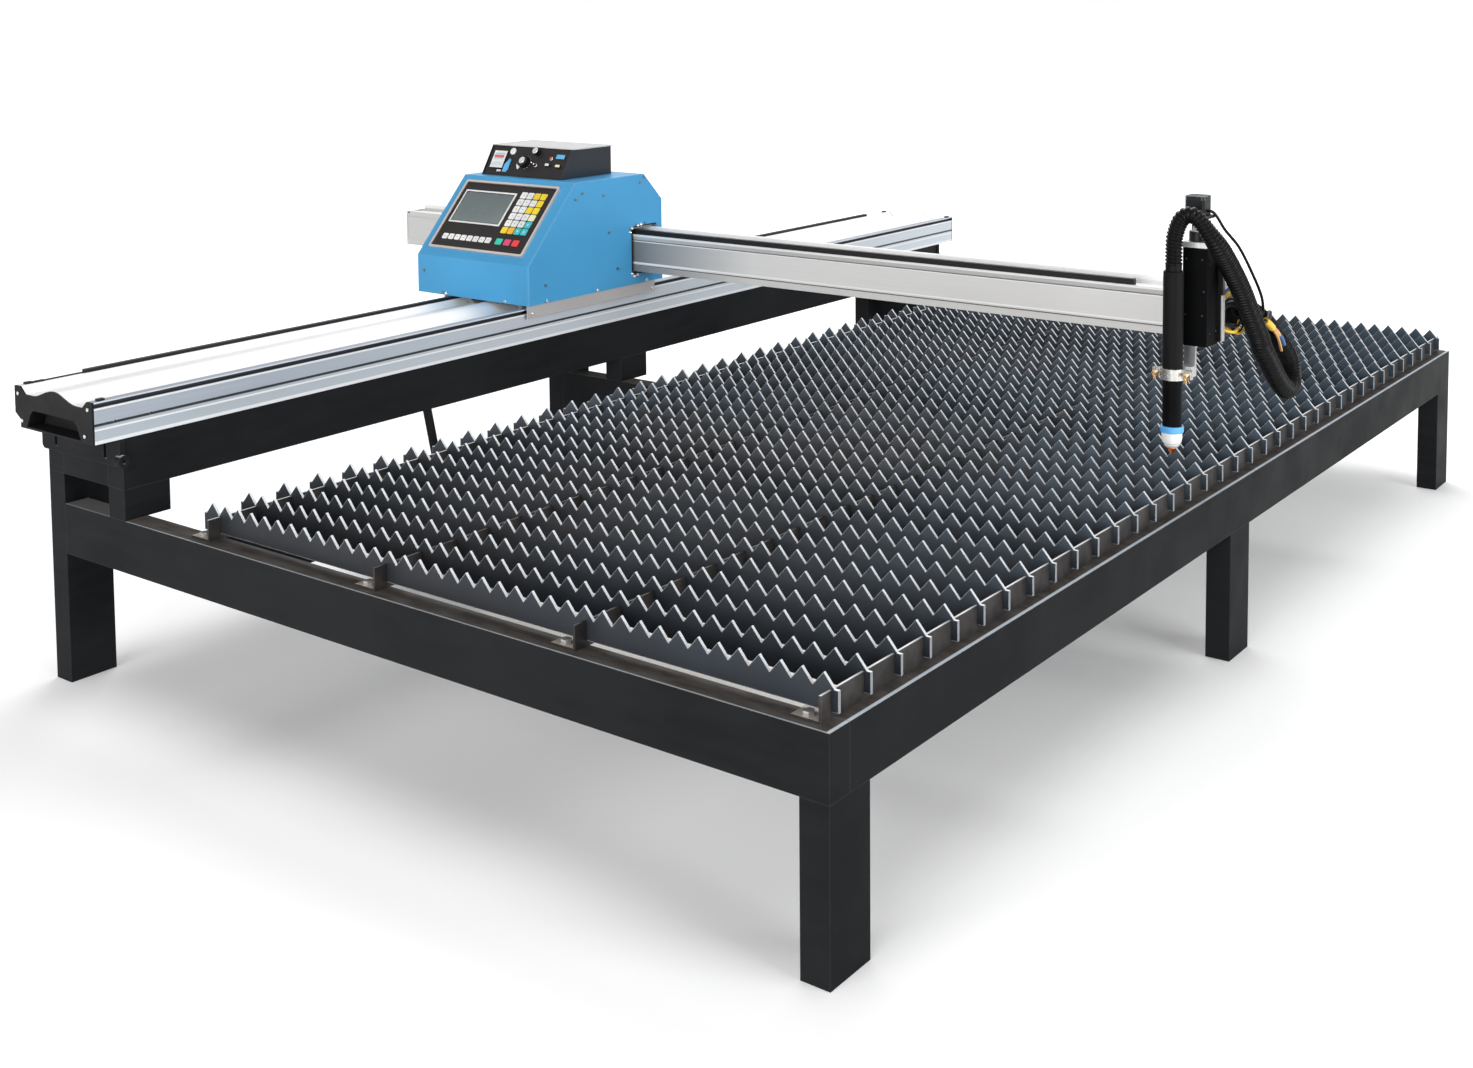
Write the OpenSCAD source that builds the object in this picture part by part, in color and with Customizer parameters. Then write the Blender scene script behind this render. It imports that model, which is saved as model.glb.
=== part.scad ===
/* [Table frame] */
// Width of the table over its legs, left to right
table_w = 1850; // [1400:10:2400]
// Length of the table, front to back
table_l = 3000; // [2600:10:4000]
// Height of the top of the frame above the floor
table_h = 360; // [300:5:700]
// Narrow side of the frame tube
tube_w = 50; // [40:5:60]
// Wide side of the frame tube
tube_d = 100; // [80:5:120]
// Wall of the frame tube
tube_wall = 3; // [2:0.5:5]
// Distance from the front to the middle legs
middle_leg_y = 1430; // [1200:10:1800]
// Distance from the left side to the left beam of the bed
bed_beam_x = 435; // [420:5:520]
// Depth of the two joists under the bed
joist_h = 50; // [30:5:80]
// Diameter of the small vent holes in the closed tubes
vent_d = 3.5; // [2:0.5:4]

/* [Rail support] */
// Width of the rail support over its tubes
support_w = 250; // [240:5:300]
// Height of the support posts above the frame
post_h = 60; // [40:5:90]
// Height of the long support beams
support_beam_h = 100; // [80:5:120]
// Height of the cross tubes between the support beams
cross_tube_h = 50; // [30:5:80]
// Thickness of the end brackets under the rail
bracket_t = 10; // [6:1:16]
// Height of the end brackets
bracket_h = 54; // [40:1:70]
// Width of the two slots in an end bracket
bracket_slot_w = 9; // [6:1:12]
// Distance of the bracket slots from the bracket's ends
bracket_slot_in = 48; // [30:1:70]
// Diameter of the round lug beside the bracket
bracket_lug_d = 24; // [18:1:34]
// Thickness of the round lug beside the bracket
bracket_lug_t = 6; // [4:1:12]
// Diameter of the slanted prop under the support beam
prop_d = 20; // [14:1:26]
// Distance of the prop's top from the front
prop_y = 790; // [600:10:1100]
// Distance the prop's foot stands further back
prop_reach = 90; // [40:5:150]
// Diameter of the prop's foot plate
prop_foot_d = 50; // [40:2:80]
// Thickness of the prop's foot plate
prop_foot_t = 5; // [3:1:8]

/* [Rail] */
// Width of the long aluminium rail
rail_w = 260; // [250:2:300]
// Height of the rail at its side flanges
rail_h = 80; // [72:1:100]
// Overhang of the rail past the front of the table
rail_front = 60; // [30:5:90]
// Overhang of the rail past the rear of the table
rail_rear = 90; // [30:5:120]
// Wall of the rail
rail_wall = 4; // [3:0.5:6]
// Height of the two valleys in the rail's top
valley_h = 66; // [62:1:72]
// Width of the flat at the bottom of each valley
valley_w = 24; // [22:1:28]
// Distance from the middle of the rail to the middle of a valley
valley_x = 84; // [80:1:88]
// Rise of the arch between the valleys
arch_rise = 18; // [10:1:18]
// Width of the rail's top flanges
flange_w = 18; // [14:1:22]
// Height of the open channel under the rail
channel_h = 42; // [20:1:46]
// Half width of the channel at its mouth
channel_bottom = 96; // [80:1:98]
// Half width of the channel at its roof
channel_top = 76; // [60:1:78]
// Width of the notch under the rail's left side
notch_w = 18; // [10:1:18]
// Height of the notch at its inner end
notch_h = 16; // [10:1:16]
// Height of the notch's slope up to the side
notch_rise = 12; // [8:1:14]
// Depth of the end caps' plug inside the channel
plug_d = 36; // [20:1:50]
// Depth of the slot along each side
side_slot = 7; // [4:1:10]
// Height of the slot along each side
side_slot_h = 6; // [4:1:8]
// Height of the slot's lower edge
side_slot_z = 70; // [58:1:72]
// Depth of the fine line along each side
side_line = 1.2; // [0.6:0.1:2]
// Height of the fine line along each side
side_line_z = 36; // [26:1:40]
// Thickness of the black end caps
cap_t = 4; // [3:0.5:6]
// Width of the gear rack on the rail
rack_w = 12; // [8:1:16]
// Height of the gear rack on the rail
rack_h = 7; // [5:1:7]
// Distance of the rack's ends from the rail's ends
rack_end = 138; // [30:2:160]
// Length of the black stops on the rail's flanges
stop_l = 14; // [8:1:20]

/* [Cutting bed] */
// Length of a slat
slat_l = 1400; // [1150:10:1900]
// Thickness of a slat
slat_t = 5; // [3:0.5:6]
// Height of a slat from its bottom to the tooth tips
slat_h = 53; // [40:1:60]
// Depth of the teeth
tooth_h = 21; // [14:1:24]
// Number of teeth on a slat
tooth_n = 38; // [20:1:50]
// Flat end left beyond the teeth at each end
slat_tail = 6.5; // [4:0.5:12]
// Number of slats
slat_n = 37; // [10:1:37]
// Distance of the first slat from the front
first_slat_y = 46; // [40:1:60]
// Length a slat reaches past the right comb
slat_past_comb = 11; // [6:1:16]
// Height of the slotted combs
comb_h = 40; // [36:1:50]
// Thickness of the comb angle
comb_t = 4; // [3:0.5:5]
// Width of the comb's foot flange
comb_foot = 50; // [40:1:60]
// Depth of a comb slot
comb_slot_d = 31; // [12:1:34]
// Side clearance of a slat in its comb slot
comb_slot_gap = 0.4; // [0.2:0.1:0.6]
// Distance from the left end of a slat to the left comb
comb_left_in = 47; // [30:1:60]
// Distance of the combs' ends from the table's ends
comb_end = 17; // [10:1:30]
// Width across the flats of the comb bolts
bolt_af = 16; // [10:1:19]
// Height of the comb bolt heads
bolt_h = 7; // [4:1:10]

/* [Carriage] */
// Distance of the carriage front from the table's front
carriage_y = 1080; // [900:10:1400]
// Length of the carriage housing, front to back
housing_l = 495; // [480:5:520]
// Distance the housing's left side lies outside the table's left side
housing_left = 110; // [90:5:140]
// Distance the housing's right side lies past the support
housing_past = 20; // [16:1:30]
// Height of the housing
housing_h = 278; // [260:2:300]
// Height of the housing's upright front wall
front_wall_h = 94; // [80:2:110]
// Distance from the front wall to the top of the slanted face
slant_run = 168; // [150:2:190]
// Size of the rear chamfer of the housing
rear_chamfer = 70; // [40:2:80]
// Wall of the sheet metal housing
sheet_t = 2; // [1.5:0.5:3]
// Gap between the housing and the top of the rail's flanges
housing_gap = 8; // [6:1:12]
// Thickness of the carriage's base plate
base_t = 6; // [4:1:8]
// Depth of the steel skirts beside the rail
skirt_h = 30; // [20:1:40]
// Thickness of the skirts
skirt_t = 3; // [2:0.5:4]
// Gap between the skirts and the rail's sides
skirt_gap = 8; // [4:1:10]

/* [Operator panel] */
// Width of the panel's bezel
bezel_w = 320; // [300:2:340]
// Height of the bezel along the slanted face
bezel_h = 208; // [190:2:220]
// Width of the bezel's rim
bezel_rim = 6; // [4:1:8]
// Height of the bezel's rim above the slanted face
bezel_t = 6; // [4:1:8]
// Distance of the bezel from the housing's left side
bezel_in = 25; // [15:1:40]
// Distance of the bezel from the foot of the slanted face
bezel_up = 23; // [14:1:30]
// Thickness of the panel's dark face
face_t = 3; // [2:0.5:5]
// Width of the screen over its white frame
screen_w = 175; // [150:1:190]
// Height of the screen over its white frame
screen_h = 99; // [80:1:110]
// Width of the screen's white frame
screen_rim = 4; // [3:0.5:6]
// Thickness of the screen's frame
screen_t = 2; // [1:0.5:3]
// Distance of the screen from the bezel's left edge
screen_in = 18; // [14:1:22]
// Distance of the screen from the bezel's lower edge
screen_up = 79; // [70:1:90]
// Width of a key
key_w = 15; // [12:1:18]
// Height of a key along the panel
key_h = 15; // [10:1:16]
// Thickness of a key
key_t = 1.6; // [1:0.1:2.5]
// Spacing of the keys across the panel
key_pitch = 22; // [20:0.5:24]
// Spacing of the key rows
key_row = 21; // [17:0.5:23]
// Distance of the outer keys from the bezel's outside
key_in = 36; // [30:1:44]
// Height of the key block's lowest row above the row under the screen
key_block_up = 34; // [28:1:40]
// Distance of the last three low keys' start from the bezel's right side
key_last_in = 99; // [90:1:104]

/* [Height control box] */
// Width of the height control box
thc_w = 273; // [240:1:290]
// Height of the height control box
thc_h = 74; // [60:1:90]
// Length of the box at its foot
thc_l = 190; // [160:2:220]
// Distance its front face leans back
thc_lean = 44; // [30:1:60]
// Distance from the housing's left side to the box
thc_in = 33; // [10:1:80]
// Wall of the box
thc_wall = 2; // [1.5:0.5:3]
// Depth of the box's front behind the edges of its shell
thc_recess = 3; // [2:0.5:5]
// Thickness of the front plate
thc_plate_t = 2.5; // [1.5:0.5:4]
// Thickness of the box's lid
thc_lid_t = 2; // [1:0.5:3]
// Depth of the lid's sides
thc_lap = 3; // [2.5:0.5:20]
// Diameter of the large knob
knob_d = 32; // [20:1:36]
// Diameter of the small knob
small_knob_d = 18; // [14:1:22]
// Length of the knobs
knob_l = 14; // [10:1:18]
// Diameter of the knobs' shafts
knob_shaft_d = 6; // [4:0.5:7]
// Running clearance of a shaft in its bore, on the radius
run_gap = 0.05; // [0.02:0.01:0.08]

/* [Gantry beam] */
// Depth of the gantry beam, front to back
beam_d = 80; // [60:1:100]
// Height of the gantry beam without its rack
beam_h = 94; // [80:1:110]
// Distance of the beam's rear from the housing's rear end
beam_in = 33; // [25:1:50]
// Height of the beam's underside above the rail's top flange
beam_up = 42; // [36:1:50]
// Distance the beam reaches left of the table's left side
beam_left = 566; // [400:2:700]
// Distance of the beam's right end from the table's right side
beam_right = 50; // [40:2:100]
// Wall of the beam
beam_wall = 3.5; // [2.5:0.5:5]
// Thickness of the beam's end plates
end_plate_t = 4; // [3:0.5:6]
// Height of the rack on the beam
beam_rack_h = 12; // [8:1:14]
// Width of the rack on the beam
beam_rack_w = 12; // [8:1:16]
// Distance of the rack's left end from the beam's left end
beam_rack_from = 500; // [470:5:520]
// Distance of the rack's right end from the beam's right end
beam_rack_to = 178; // [100:2:300]

/* [Drives] */
// Width of the two carriage motors
motor_w = 57; // [42:1:60]
// Length of the two carriage motors
motor_l = 56; // [40:1:80]
// Diameter of the motor shafts
shaft_d = 8; // [6:1:10]
// Pitch radius of the rail pinion
rail_pinion_r = 36; // [34:1:40]
// Pitch radius of the beam pinion
beam_pinion_r = 24; // [22:1:30]
// Gap between a pinion and its rack
mesh_gap = 0.3; // [0.2:0.1:0.5]
// Radius of the carriage wheels
wheel_r = 26; // [25:1:30]
// Width of the carriage wheels
wheel_w = 16; // [12:1:18]
// Diameter of the wheel axles
axle_d = 10; // [8:1:12]
// Distance from the carriage's ends to its axles
axle_in = 50; // [45:1:70]
// Gap between a wheel and the rail
wheel_gap = 0.3; // [0.2:0.1:0.5]
// Radius of the rollers under the beam
roller_r = 12; // [10:1:14]
// Length of the rollers under the beam
roller_l = 50; // [30:1:56]
// Distance of the rollers from the housing's sides
roller_in = 19; // [18:1:19]

/* [Torch lifter] */
// Width of the lifter's housing
lifter_w = 51; // [48:1:60]
// Depth of the lifter's housing
lifter_d = 55; // [50:1:70]
// Height of the lifter's housing
lifter_h = 196; // [180:2:240]
// Distance of the lifter's left side from the table's right side
lifter_in = 86; // [80:1:140]
// Thickness of the plate behind the lifter
lifter_plate_t = 12; // [8:1:12]
// Depth of the spacer between that plate and the beam
spacer_d = 15; // [10:1:20]
// Wall of the lifter's housing
lifter_wall = 2; // [1.5:0.5:3]
// Thickness of the lifter's alloy top plate
lifter_top_t = 11; // [8:1:18]
// Height of the open space with the screw coupling
coupling_h = 46; // [40:1:60]
// Diameter of the screw coupling
coupling_d = 33; // [16:1:34]
// Height of the coupling's wide part
coupling_low = 20; // [14:1:26]
// Thickness of the motor's mounting plate
motor_plate_t = 6; // [4:1:8]
// Width of the lifter's motor
lift_motor_w = 40; // [35:1:48]
// Height of the lifter's motor
lift_motor_h = 39; // [30:1:50]
// Diameter of the lifting screw
screw_d = 8; // [6:1:10]
// Diameter of the guide rods
rod_d = 6; // [5:0.5:8]
// Distance of a guide rod from the screw
rod_x = 12; // [10:1:13]
// Distance of the screw to the left of the housing's middle
screw_side = 4; // [0:1:5]
// Distance of the screw behind the housing's front
screw_front = 21; // [21:1:37]
// Height of the sliding block on the screw
block_h = 40; // [30:1:50]
// Thickness of the block's arm
arm_t = 6; // [4:1:8]
// Width of the block's arm
arm_w = 24; // [18:1:26]
// Height of the block above the lifter's foot
block_up = 50; // [46:1:60]
// Width of the plate under the lifter's motor
motor_plate_w = 52; // [44:1:56]

/* [Torch] */
// Distance of the torch's middle in front of the beam
torch_out = 122; // [118:1:130]
// Distance of the torch from the table's right side
torch_in = 88; // [80:1:120]
// Height of the torch's tip above the tooth tips
tip_gap = 10; // [6:1:15]
// Radius of the torch's upper sleeve
sleeve_r = 20; // [18:0.5:23]
// Length of the upper sleeve above the clamp
sleeve_l = 192; // [150:2:220]
// Wall of the upper sleeve
sleeve_wall = 3; // [2:0.5:4]
// Radius of the torch's barrel
barrel_r = 19; // [17:0.5:21]
// Length of the barrel below the clamp
barrel_l = 93; // [60:1:120]
// Radius of the collar
collar_r = 23; // [21:0.5:25]
// Height of the collar
collar_h = 13; // [10:1:20]
// Radius of the cup
cup_r = 20.5; // [18:0.5:22]
// Height of the cup's straight part
cup_h = 20; // [12:1:24]
// Height of the cup's taper
cup_taper = 10; // [6:1:16]
// Radius of the cup's mouth
cup_mouth_r = 15.5; // [11:0.5:17]
// Radius of the nozzle
nozzle_r = 9; // [6:0.5:10]
// Length of the nozzle below the cup
nozzle_l = 13; // [8:1:18]
// Height of the clamp ring
clamp_h = 22; // [18:1:34]
// Wall of the clamp ring
clamp_t = 4; // [3:0.5:6]
// Reach of the clamp's ears from the torch's middle
ear_x = 40; // [34:1:50]

/* [Hose and cable] */
// Radius of the torch's hose at its ends
hose_r = 17; // [15:0.5:19]
// Radius of the torch's hose along its middle
hose_wide_r = 21; // [18:0.5:22]
// Depth of the hose's ribs
hose_rib = 1.6; // [1:0.1:2.2]
// Wall of the hose
hose_wall = 3.5; // [2.5:0.5:5]
// Height of the hose's gland above the beam's underside
gland_up = 48; // [40:1:60]
// Length of the gland behind the beam
gland_l = 18; // [12:1:30]
// Radius of the motor's cable
cable_r = 3; // [2:0.5:5]

/* [Hidden] */
small_gap = 0.3;
round_fn = 48;
half_table_h = table_h - tube_d;

support_mid = support_w / 2;
support_z = table_h + post_h;
rail_z = support_z + support_beam_h;
rail_top = rail_z + rail_h;
rail_l = rail_front + table_l + rail_rear;
rail_left = support_mid - rail_w / 2;
lug_gap = max(0, (rail_w - support_w) / 2 - small_gap);
rear_leg_y = table_l - tube_d;
rear_beam_y = table_l - tube_w;
valley_z = rail_z + valley_h;

slat_x = table_w - slat_l - (comb_foot - slat_past_comb) + comb_foot / 2;
comb_right_x = slat_x + slat_l - slat_past_comb;
comb_left_x = slat_x + comb_left_in;
comb_z = table_h;
slat_pitch = (table_l - 2 * first_slat_y) / (slat_n - 1);
slat_z = comb_z + comb_h - comb_slot_d;
tip_z = slat_z + slat_h;
tooth_pitch = (slat_l - 2 * slat_tail) / tooth_n;
comb_xs = [for (i = [0:3]) comb_left_x + i * (comb_right_x - comb_left_x) / 3];

housing_x = -housing_left;
housing_w = housing_left + support_w + housing_past;
housing_z = rail_top + housing_gap;
housing_top = housing_z + housing_h;
slant_z = housing_z + front_wall_h;
slant_angle = atan2(housing_top - slant_z, slant_run);
side_t = sheet_t + 1;
base_z = housing_z;
base_top = base_z + base_t;

beam_y = carriage_y + housing_l - beam_in - beam_d;
beam_z = rail_top + beam_up;
beam_top = beam_z + beam_h;
beam_x = -beam_left;
beam_end = table_w - beam_right;
beam_l = beam_end - beam_x;
beam_play = 0.5;

rack_x = rail_left + flange_w - rack_w;
rack_mid_x = rack_x + rack_w / 2;
rack_top = rail_top + rack_h;
rail_pinion_y = carriage_y + housing_l / 2;
rail_pinion_z = rack_top + mesh_gap + rail_pinion_r;
beam_rack_y = beam_y + 4;
beam_pinion_x = housing_x + housing_w / 2;
beam_pinion_z = beam_top + beam_rack_h + mesh_gap + beam_pinion_r;
axle_z = valley_z + wheel_gap + wheel_r;
axle_block_w = 14;
rail_clear = 2;
axle_half = valley_x + wheel_w / 2 + 5 + axle_block_w;
axle_ys = [carriage_y + axle_in, carriage_y + housing_l - axle_in];
roller_xs = [housing_x + roller_in, housing_x + housing_w - roller_in];
roller_z = beam_z - wheel_gap - roller_r;

torch_x = table_w - torch_in;
torch_y = beam_y - torch_out;
nozzle_z = tip_z + tip_gap;
cup_z = nozzle_z + nozzle_l;
collar_z = cup_z + cup_taper + cup_h;
barrel_z = collar_z + collar_h;
clamp_z = barrel_z + barrel_l;
clamp_top = clamp_z + clamp_h;
sleeve_top = clamp_top + sleeve_l;

lifter_x = table_w - lifter_in;
screw_x = lifter_x + lifter_w / 2 - screw_side;
lifter_y = beam_y - spacer_d - lifter_plate_t - lifter_d;
lifter_z = beam_z;
lifter_top = lifter_z + lifter_h;
top_plate_top = lifter_top + lifter_top_t;
motor_plate_z = top_plate_top + coupling_h;
lift_motor_z = motor_plate_z + motor_plate_t;
screw_y = lifter_y + screw_front;
block_z = lifter_z + block_up;
block_d = 24;

thc_y = carriage_y + slant_run + 26;
thc_x = housing_x + thc_in;
thc_z = housing_top;
thc_angle = atan2(thc_h, thc_lean);
thc_face_h = thc_h / sin(thc_angle);

bottom_left = min(beam_x - end_plate_t, housing_x);
origin_x = (bottom_left + table_w) / 2;
origin_y = (-rail_front - cap_t + table_l + rail_rear + cap_t) / 2;

gland_y = beam_y + beam_d + gland_l;
gland_z = beam_z + gland_up;
// The hose's route, from the middle of the sleeve's top
hose_route = [
    [0, 0, small_gap], [0, 0, 36], [2, 0, 70], [15, -1, 103], [33, 1, 113], [49, 6, 103],
    [62, 16, 81], [75, 33, 53], [84, 78, 4], [92, 116, -45], [97, 152, -96],
    [100, 193, -147], [101, 215, -179], [100, 260, -218], [98, 300, -250], [94, 352, -283],
    [89, 400, -299], [84, 438, -287], [79, 441, -253], [74, 420, -220], [69, 387, -187],
    [69, 350, -160], [65, 310, -134], [60, 270, -113], [58, 245, -106], [58, 220, -105]
];
hose_start = [torch_x, torch_y, sleeve_top];
gland_x = torch_x + hose_route[len(hose_route) - 1][0];
cable_route = [
    [0, 0, 0], [5, 0, 0], [8, 10, -4], [9, 30, -17], [13, 59, -44],
    [27, 99, -83], [38, 144, -141], [44, 179, -190], [40, 203, -224]
];

// A closed square tube with a small vent hole in its underside
module box_tube(size, wall = tube_wall) {
    difference() {
        cube(size);
        translate([wall, wall, wall]) cube([for (s = size) s - 2 * wall]);
        translate([size[0] / 2, size[1] / 2, -1]) cylinder(h = wall + 2, d = vent_d, $fn = 16);
    }
}

// A cylinder that lies along X from its start
module rod_x(length, radius) {
    rotate([0, 90, 0]) cylinder(h = length, r = radius, $fn = round_fn);
}

// A cylinder that lies along Y from its start
module rod_y(length, radius) {
    rotate([-90, 0, 0]) cylinder(h = length, r = radius, $fn = round_fn);
}

// Turns an outline drawn in X and Z into a bar along Y
module along_y(length) {
    translate([0, length, 0]) rotate([90, 0, 0]) linear_extrude(height = length) children();
}

// Turns an outline drawn in Y and Z into a bar along X
module along_x(length) {
    rotate([90, 0, 90]) linear_extrude(height = length) children();
}

module rounded_square(size, radius) {
    hull() for (x = [radius, size[0] - radius], y = [radius, size[1] - radius])
        translate([x, y]) circle(r = radius, $fn = 24);
}

// A rectangle with its corners cut off
module cut_square(size, cut) {
    polygon([
        [cut, 0], [size[0] - cut, 0], [size[0], cut], [size[0], size[1] - cut],
        [size[0] - cut, size[1]], [cut, size[1]], [0, size[1] - cut], [0, cut]
    ]);
}

module front_beam() {
    color("#26282a") translate([tube_w, 0, half_table_h])
        box_tube([table_w - tube_w, tube_w, tube_d]);
}

module middle_beam() {
    color("#26282a") translate([tube_w, middle_leg_y, half_table_h])
        box_tube([table_w - 2 * tube_w, tube_w, tube_d]);
}

module rear_beam() {
    color("#26282a") translate([tube_w, rear_beam_y, half_table_h])
        box_tube([table_w - tube_w, tube_w, tube_d]);
}

module right_beam() {
    color("#26282a") translate([table_w - tube_w, tube_w, half_table_h])
        box_tube([tube_w, table_l - 2 * tube_w, tube_d]);
}

// The beam along the bed's left side, cut by the middle beam
module bed_beam() {
    color("#26282a") {
        translate([bed_beam_x, tube_w, half_table_h])
            box_tube([tube_w, middle_leg_y - tube_w, tube_d]);
        translate([bed_beam_x, middle_leg_y + tube_w, half_table_h])
            box_tube([tube_w, rear_beam_y - middle_leg_y - tube_w, tube_d]);
    }
}

module bed_joists() {
    joist_x = bed_beam_x + tube_w;
    for (y = [middle_leg_y / 2, (middle_leg_y + table_l) / 2])
        color("#26282a") translate([joist_x, y, table_h - joist_h])
            box_tube([table_w - tube_w - joist_x, tube_w, joist_h]);
}

module right_legs() {
    for (y = [0, middle_leg_y, rear_leg_y])
        color("#26282a") translate([table_w - tube_w, y, 0])
            box_tube([tube_w, tube_d, half_table_h]);
}

module left_legs() {
    for (y = [0, middle_leg_y, rear_leg_y])
        color("#26282a") translate([0, y, 0])
            box_tube([tube_w, tube_d, support_z]);
}

module support_posts() {
    for (y = [0, middle_leg_y, rear_leg_y])
        color("#26282a") translate([support_w - tube_w, y, table_h])
            box_tube([tube_w, tube_d, post_h]);
}

module support_cross_tubes() {
    for (y = [0, middle_leg_y, rear_beam_y])
        color("#26282a") translate([tube_w, y, support_z])
            box_tube([support_w - 2 * tube_w, tube_w, cross_tube_h]);
}

module support_beam_left() {
    color("#26282a") translate([0, 0, support_z]) box_tube([tube_w, table_l, support_beam_h]);
}

module support_beam_right() {
    color("#26282a") translate([support_w - tube_w, 0, support_z])
        box_tube([tube_w, table_l, support_beam_h]);
}

// The slanted prop that carries the right support beam between its posts
module support_prop() {
    prop_x = support_w - tube_w / 2;
    lean = atan2(prop_reach, support_z);
    color("#26282a") {
        intersection() {
            translate([prop_x, prop_y + prop_reach, 0]) rotate([lean, 0, 0])
                translate([0, 0, -prop_d]) cylinder(h = support_z * 2, d = prop_d, $fn = round_fn);
            translate([prop_x - prop_d, prop_y - prop_d, prop_foot_t / 2])
                cube([2 * prop_d, prop_reach + 2 * prop_d, support_z - prop_foot_t / 2]);
        }
        translate([prop_x, prop_y + prop_reach, 0])
            cylinder(h = prop_foot_t, d = prop_foot_d, $fn = round_fn);
    }
}

// One end bracket with its two slots and its adjusting knob
module rail_bracket() {
    difference() {
        cube([rail_w, bracket_t, bracket_h]);
        for (x = [bracket_slot_in, rail_w - bracket_slot_in])
            translate([x - bracket_slot_w / 2, -1, bracket_h / 5])
                cube([bracket_slot_w, bracket_t + 2, bracket_h]);
        for (x = [0, rail_w]) translate([x, -1, 0]) rotate([0, 45, 0])
            cube([bracket_slot_w, 3 * bracket_t, bracket_slot_w], center = true);
    }
    // The lug wraps round the corner, beside the support beam
    translate([rail_w - bracket_t, bracket_t / 2, bracket_lug_d / 2]) difference() {
        union() {
            rod_x(bracket_lug_t + bracket_t, bracket_lug_d / 2);
            translate([0, -bracket_t / 2, 0]) cube([bracket_t, bracket_t, bracket_lug_d]);
        }
        translate([-1, 0, 0]) rod_x(bracket_lug_t + bracket_t + 2, bracket_lug_d / 5);
        translate([-1, bracket_t / 2, -bracket_lug_d])
            cube([bracket_t + 1 - lug_gap, bracket_lug_d, 3 * bracket_lug_d]);
    }
}

module rail_brackets() {
    color("#1c1d1f") {
        translate([rail_left, -bracket_t, rail_z - bracket_h]) rail_bracket();
        translate([rail_left, table_l + bracket_t, rail_z - bracket_h]) mirror([0, 1, 0]) rail_bracket();
    }
}

// The smooth arch between the two valleys, as height over a point
function arch_z(x, half) = valley_h + arch_rise * (1 + cos(180 * x / half)) / 2;

// The right half of the rail's outline, from the channel to the arch
function rail_half() = let (
    h = rail_w / 2,
    inner = valley_x - valley_w / 2,
    outer = valley_x + valley_w / 2
) concat(
    [[channel_top, channel_h], [channel_bottom, 0], [h, 0]],
    [[h, side_line_z], [h - side_line, side_line_z + 1], [h, side_line_z + 2]],
    [[h, side_slot_z], [h - side_slot, side_slot_z], [h - side_slot, side_slot_z + side_slot_h]],
    [[h, side_slot_z + side_slot_h], [h, rail_h], [h - flange_w, rail_h]],
    [[outer, valley_h], [inner, valley_h]],
    [for (i = [1:6]) let (x = inner * (1 - i / 6)) [x, arch_z(x, inner)]]
);

// The right half mirrored, with the notch in the lower left corner
module rail_outline() {
    half = rail_half();
    mirrored = [for (i = [len(half) - 2:-1:3]) [-half[i][0], half[i][1]]];
    left = -rail_w / 2;
    notch = [[left, notch_h + notch_rise], [left + notch_w, notch_h], [left + notch_w, 0]];
    polygon(concat(half, mirrored, notch, [[-channel_bottom, 0], [-channel_top, channel_h]]));
}

// The hollow chambers inside the rail
module rail_chambers() {
    h = rail_w / 2;
    inner = valley_x - valley_w / 2;
    floor_z = channel_h + rail_wall;
    side_w = h - channel_bottom - 2 * rail_wall;
    reach = channel_top - 2 * rail_wall;
    roof = [for (i = [-6:6]) let (x = -reach * i / 6) [x, arch_z(x, inner) - rail_wall - 0.5]];
    polygon(concat([[-reach, floor_z], [reach, floor_z]], roof));
    foot = -channel_bottom - rail_wall;
    notch_x = notch_w + rail_wall - h;
    low_top = min(side_line_z - rail_wall, notch_h + notch_rise - 1);
    slope = notch_rise / notch_w;
    notch_z = notch_h + 1.2 * rail_wall;
    polygon([
        [foot, rail_wall], [foot, low_top], [notch_x - rail_wall - (low_top - notch_z) / slope, low_top],
        [notch_x, notch_z - rail_wall * slope], [notch_x, rail_wall]
    ]);
    translate([channel_bottom + rail_wall, rail_wall])
        square([side_w, side_line_z - 2 * rail_wall]);
    for (side = [-1, 1]) scale([side, 1]) {
        translate([channel_top + rail_wall * 2, side_line_z + rail_wall])
            square([h - channel_top - 3 * rail_wall, min(side_slot_z, valley_h) - side_line_z - 2 * rail_wall]);
    }
}

module rail_extrusion() {
    color("#c9d0d6") translate([support_mid, -rail_front, rail_z])
        along_y(rail_l) difference() {
            rail_outline();
            rail_chambers();
        }
}

// An end cap with its plug in the channel, hollowed from the front, drawn with its back to +Y
module rail_end_cap() {
    inset = 2 * small_gap;
    color("#1c1d1f") difference() {
        union() {
            along_y(cap_t) {
                rail_outline();
                for (x = [-rail_w / 2, rail_w / 2 - flange_w])
                    translate([x, side_slot_z - 1]) square([flange_w, side_slot_h + 2]);
                channel_shape(1, -1, 0);
            }
            along_y(cap_t + plug_d) channel_shape(-inset, inset / 2, inset / 2);
        }
        translate([0, -1, 0]) along_y(cap_t + plug_d - 3) polygon(mirrored_pair([
            [channel_bottom - 5, 4], [channel_top + 1, channel_h - 12], [channel_top - 8, channel_h - 4]
        ]));
    }
}

// Points given for the right side, joined by their mirror images
function mirrored_pair(p) = concat(p, [for (i = [len(p) - 1:-1:0]) [-p[i][0], p[i][1]]]);

// The channel's own outline, grown sideways, with its roof and its floor moved inwards
module channel_shape(grow, roof_in, floor_in) {
    polygon(mirrored_pair([
        [channel_bottom + grow, max(0, floor_in)], [channel_top + grow, channel_h - roof_in]
    ]));
}

module rail_end_caps() {
    translate([support_mid, -rail_front - cap_t, rail_z]) rail_end_cap();
    translate([support_mid, table_l + rail_rear + cap_t, rail_z]) mirror([0, 1, 0]) rail_end_cap();
}

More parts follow.
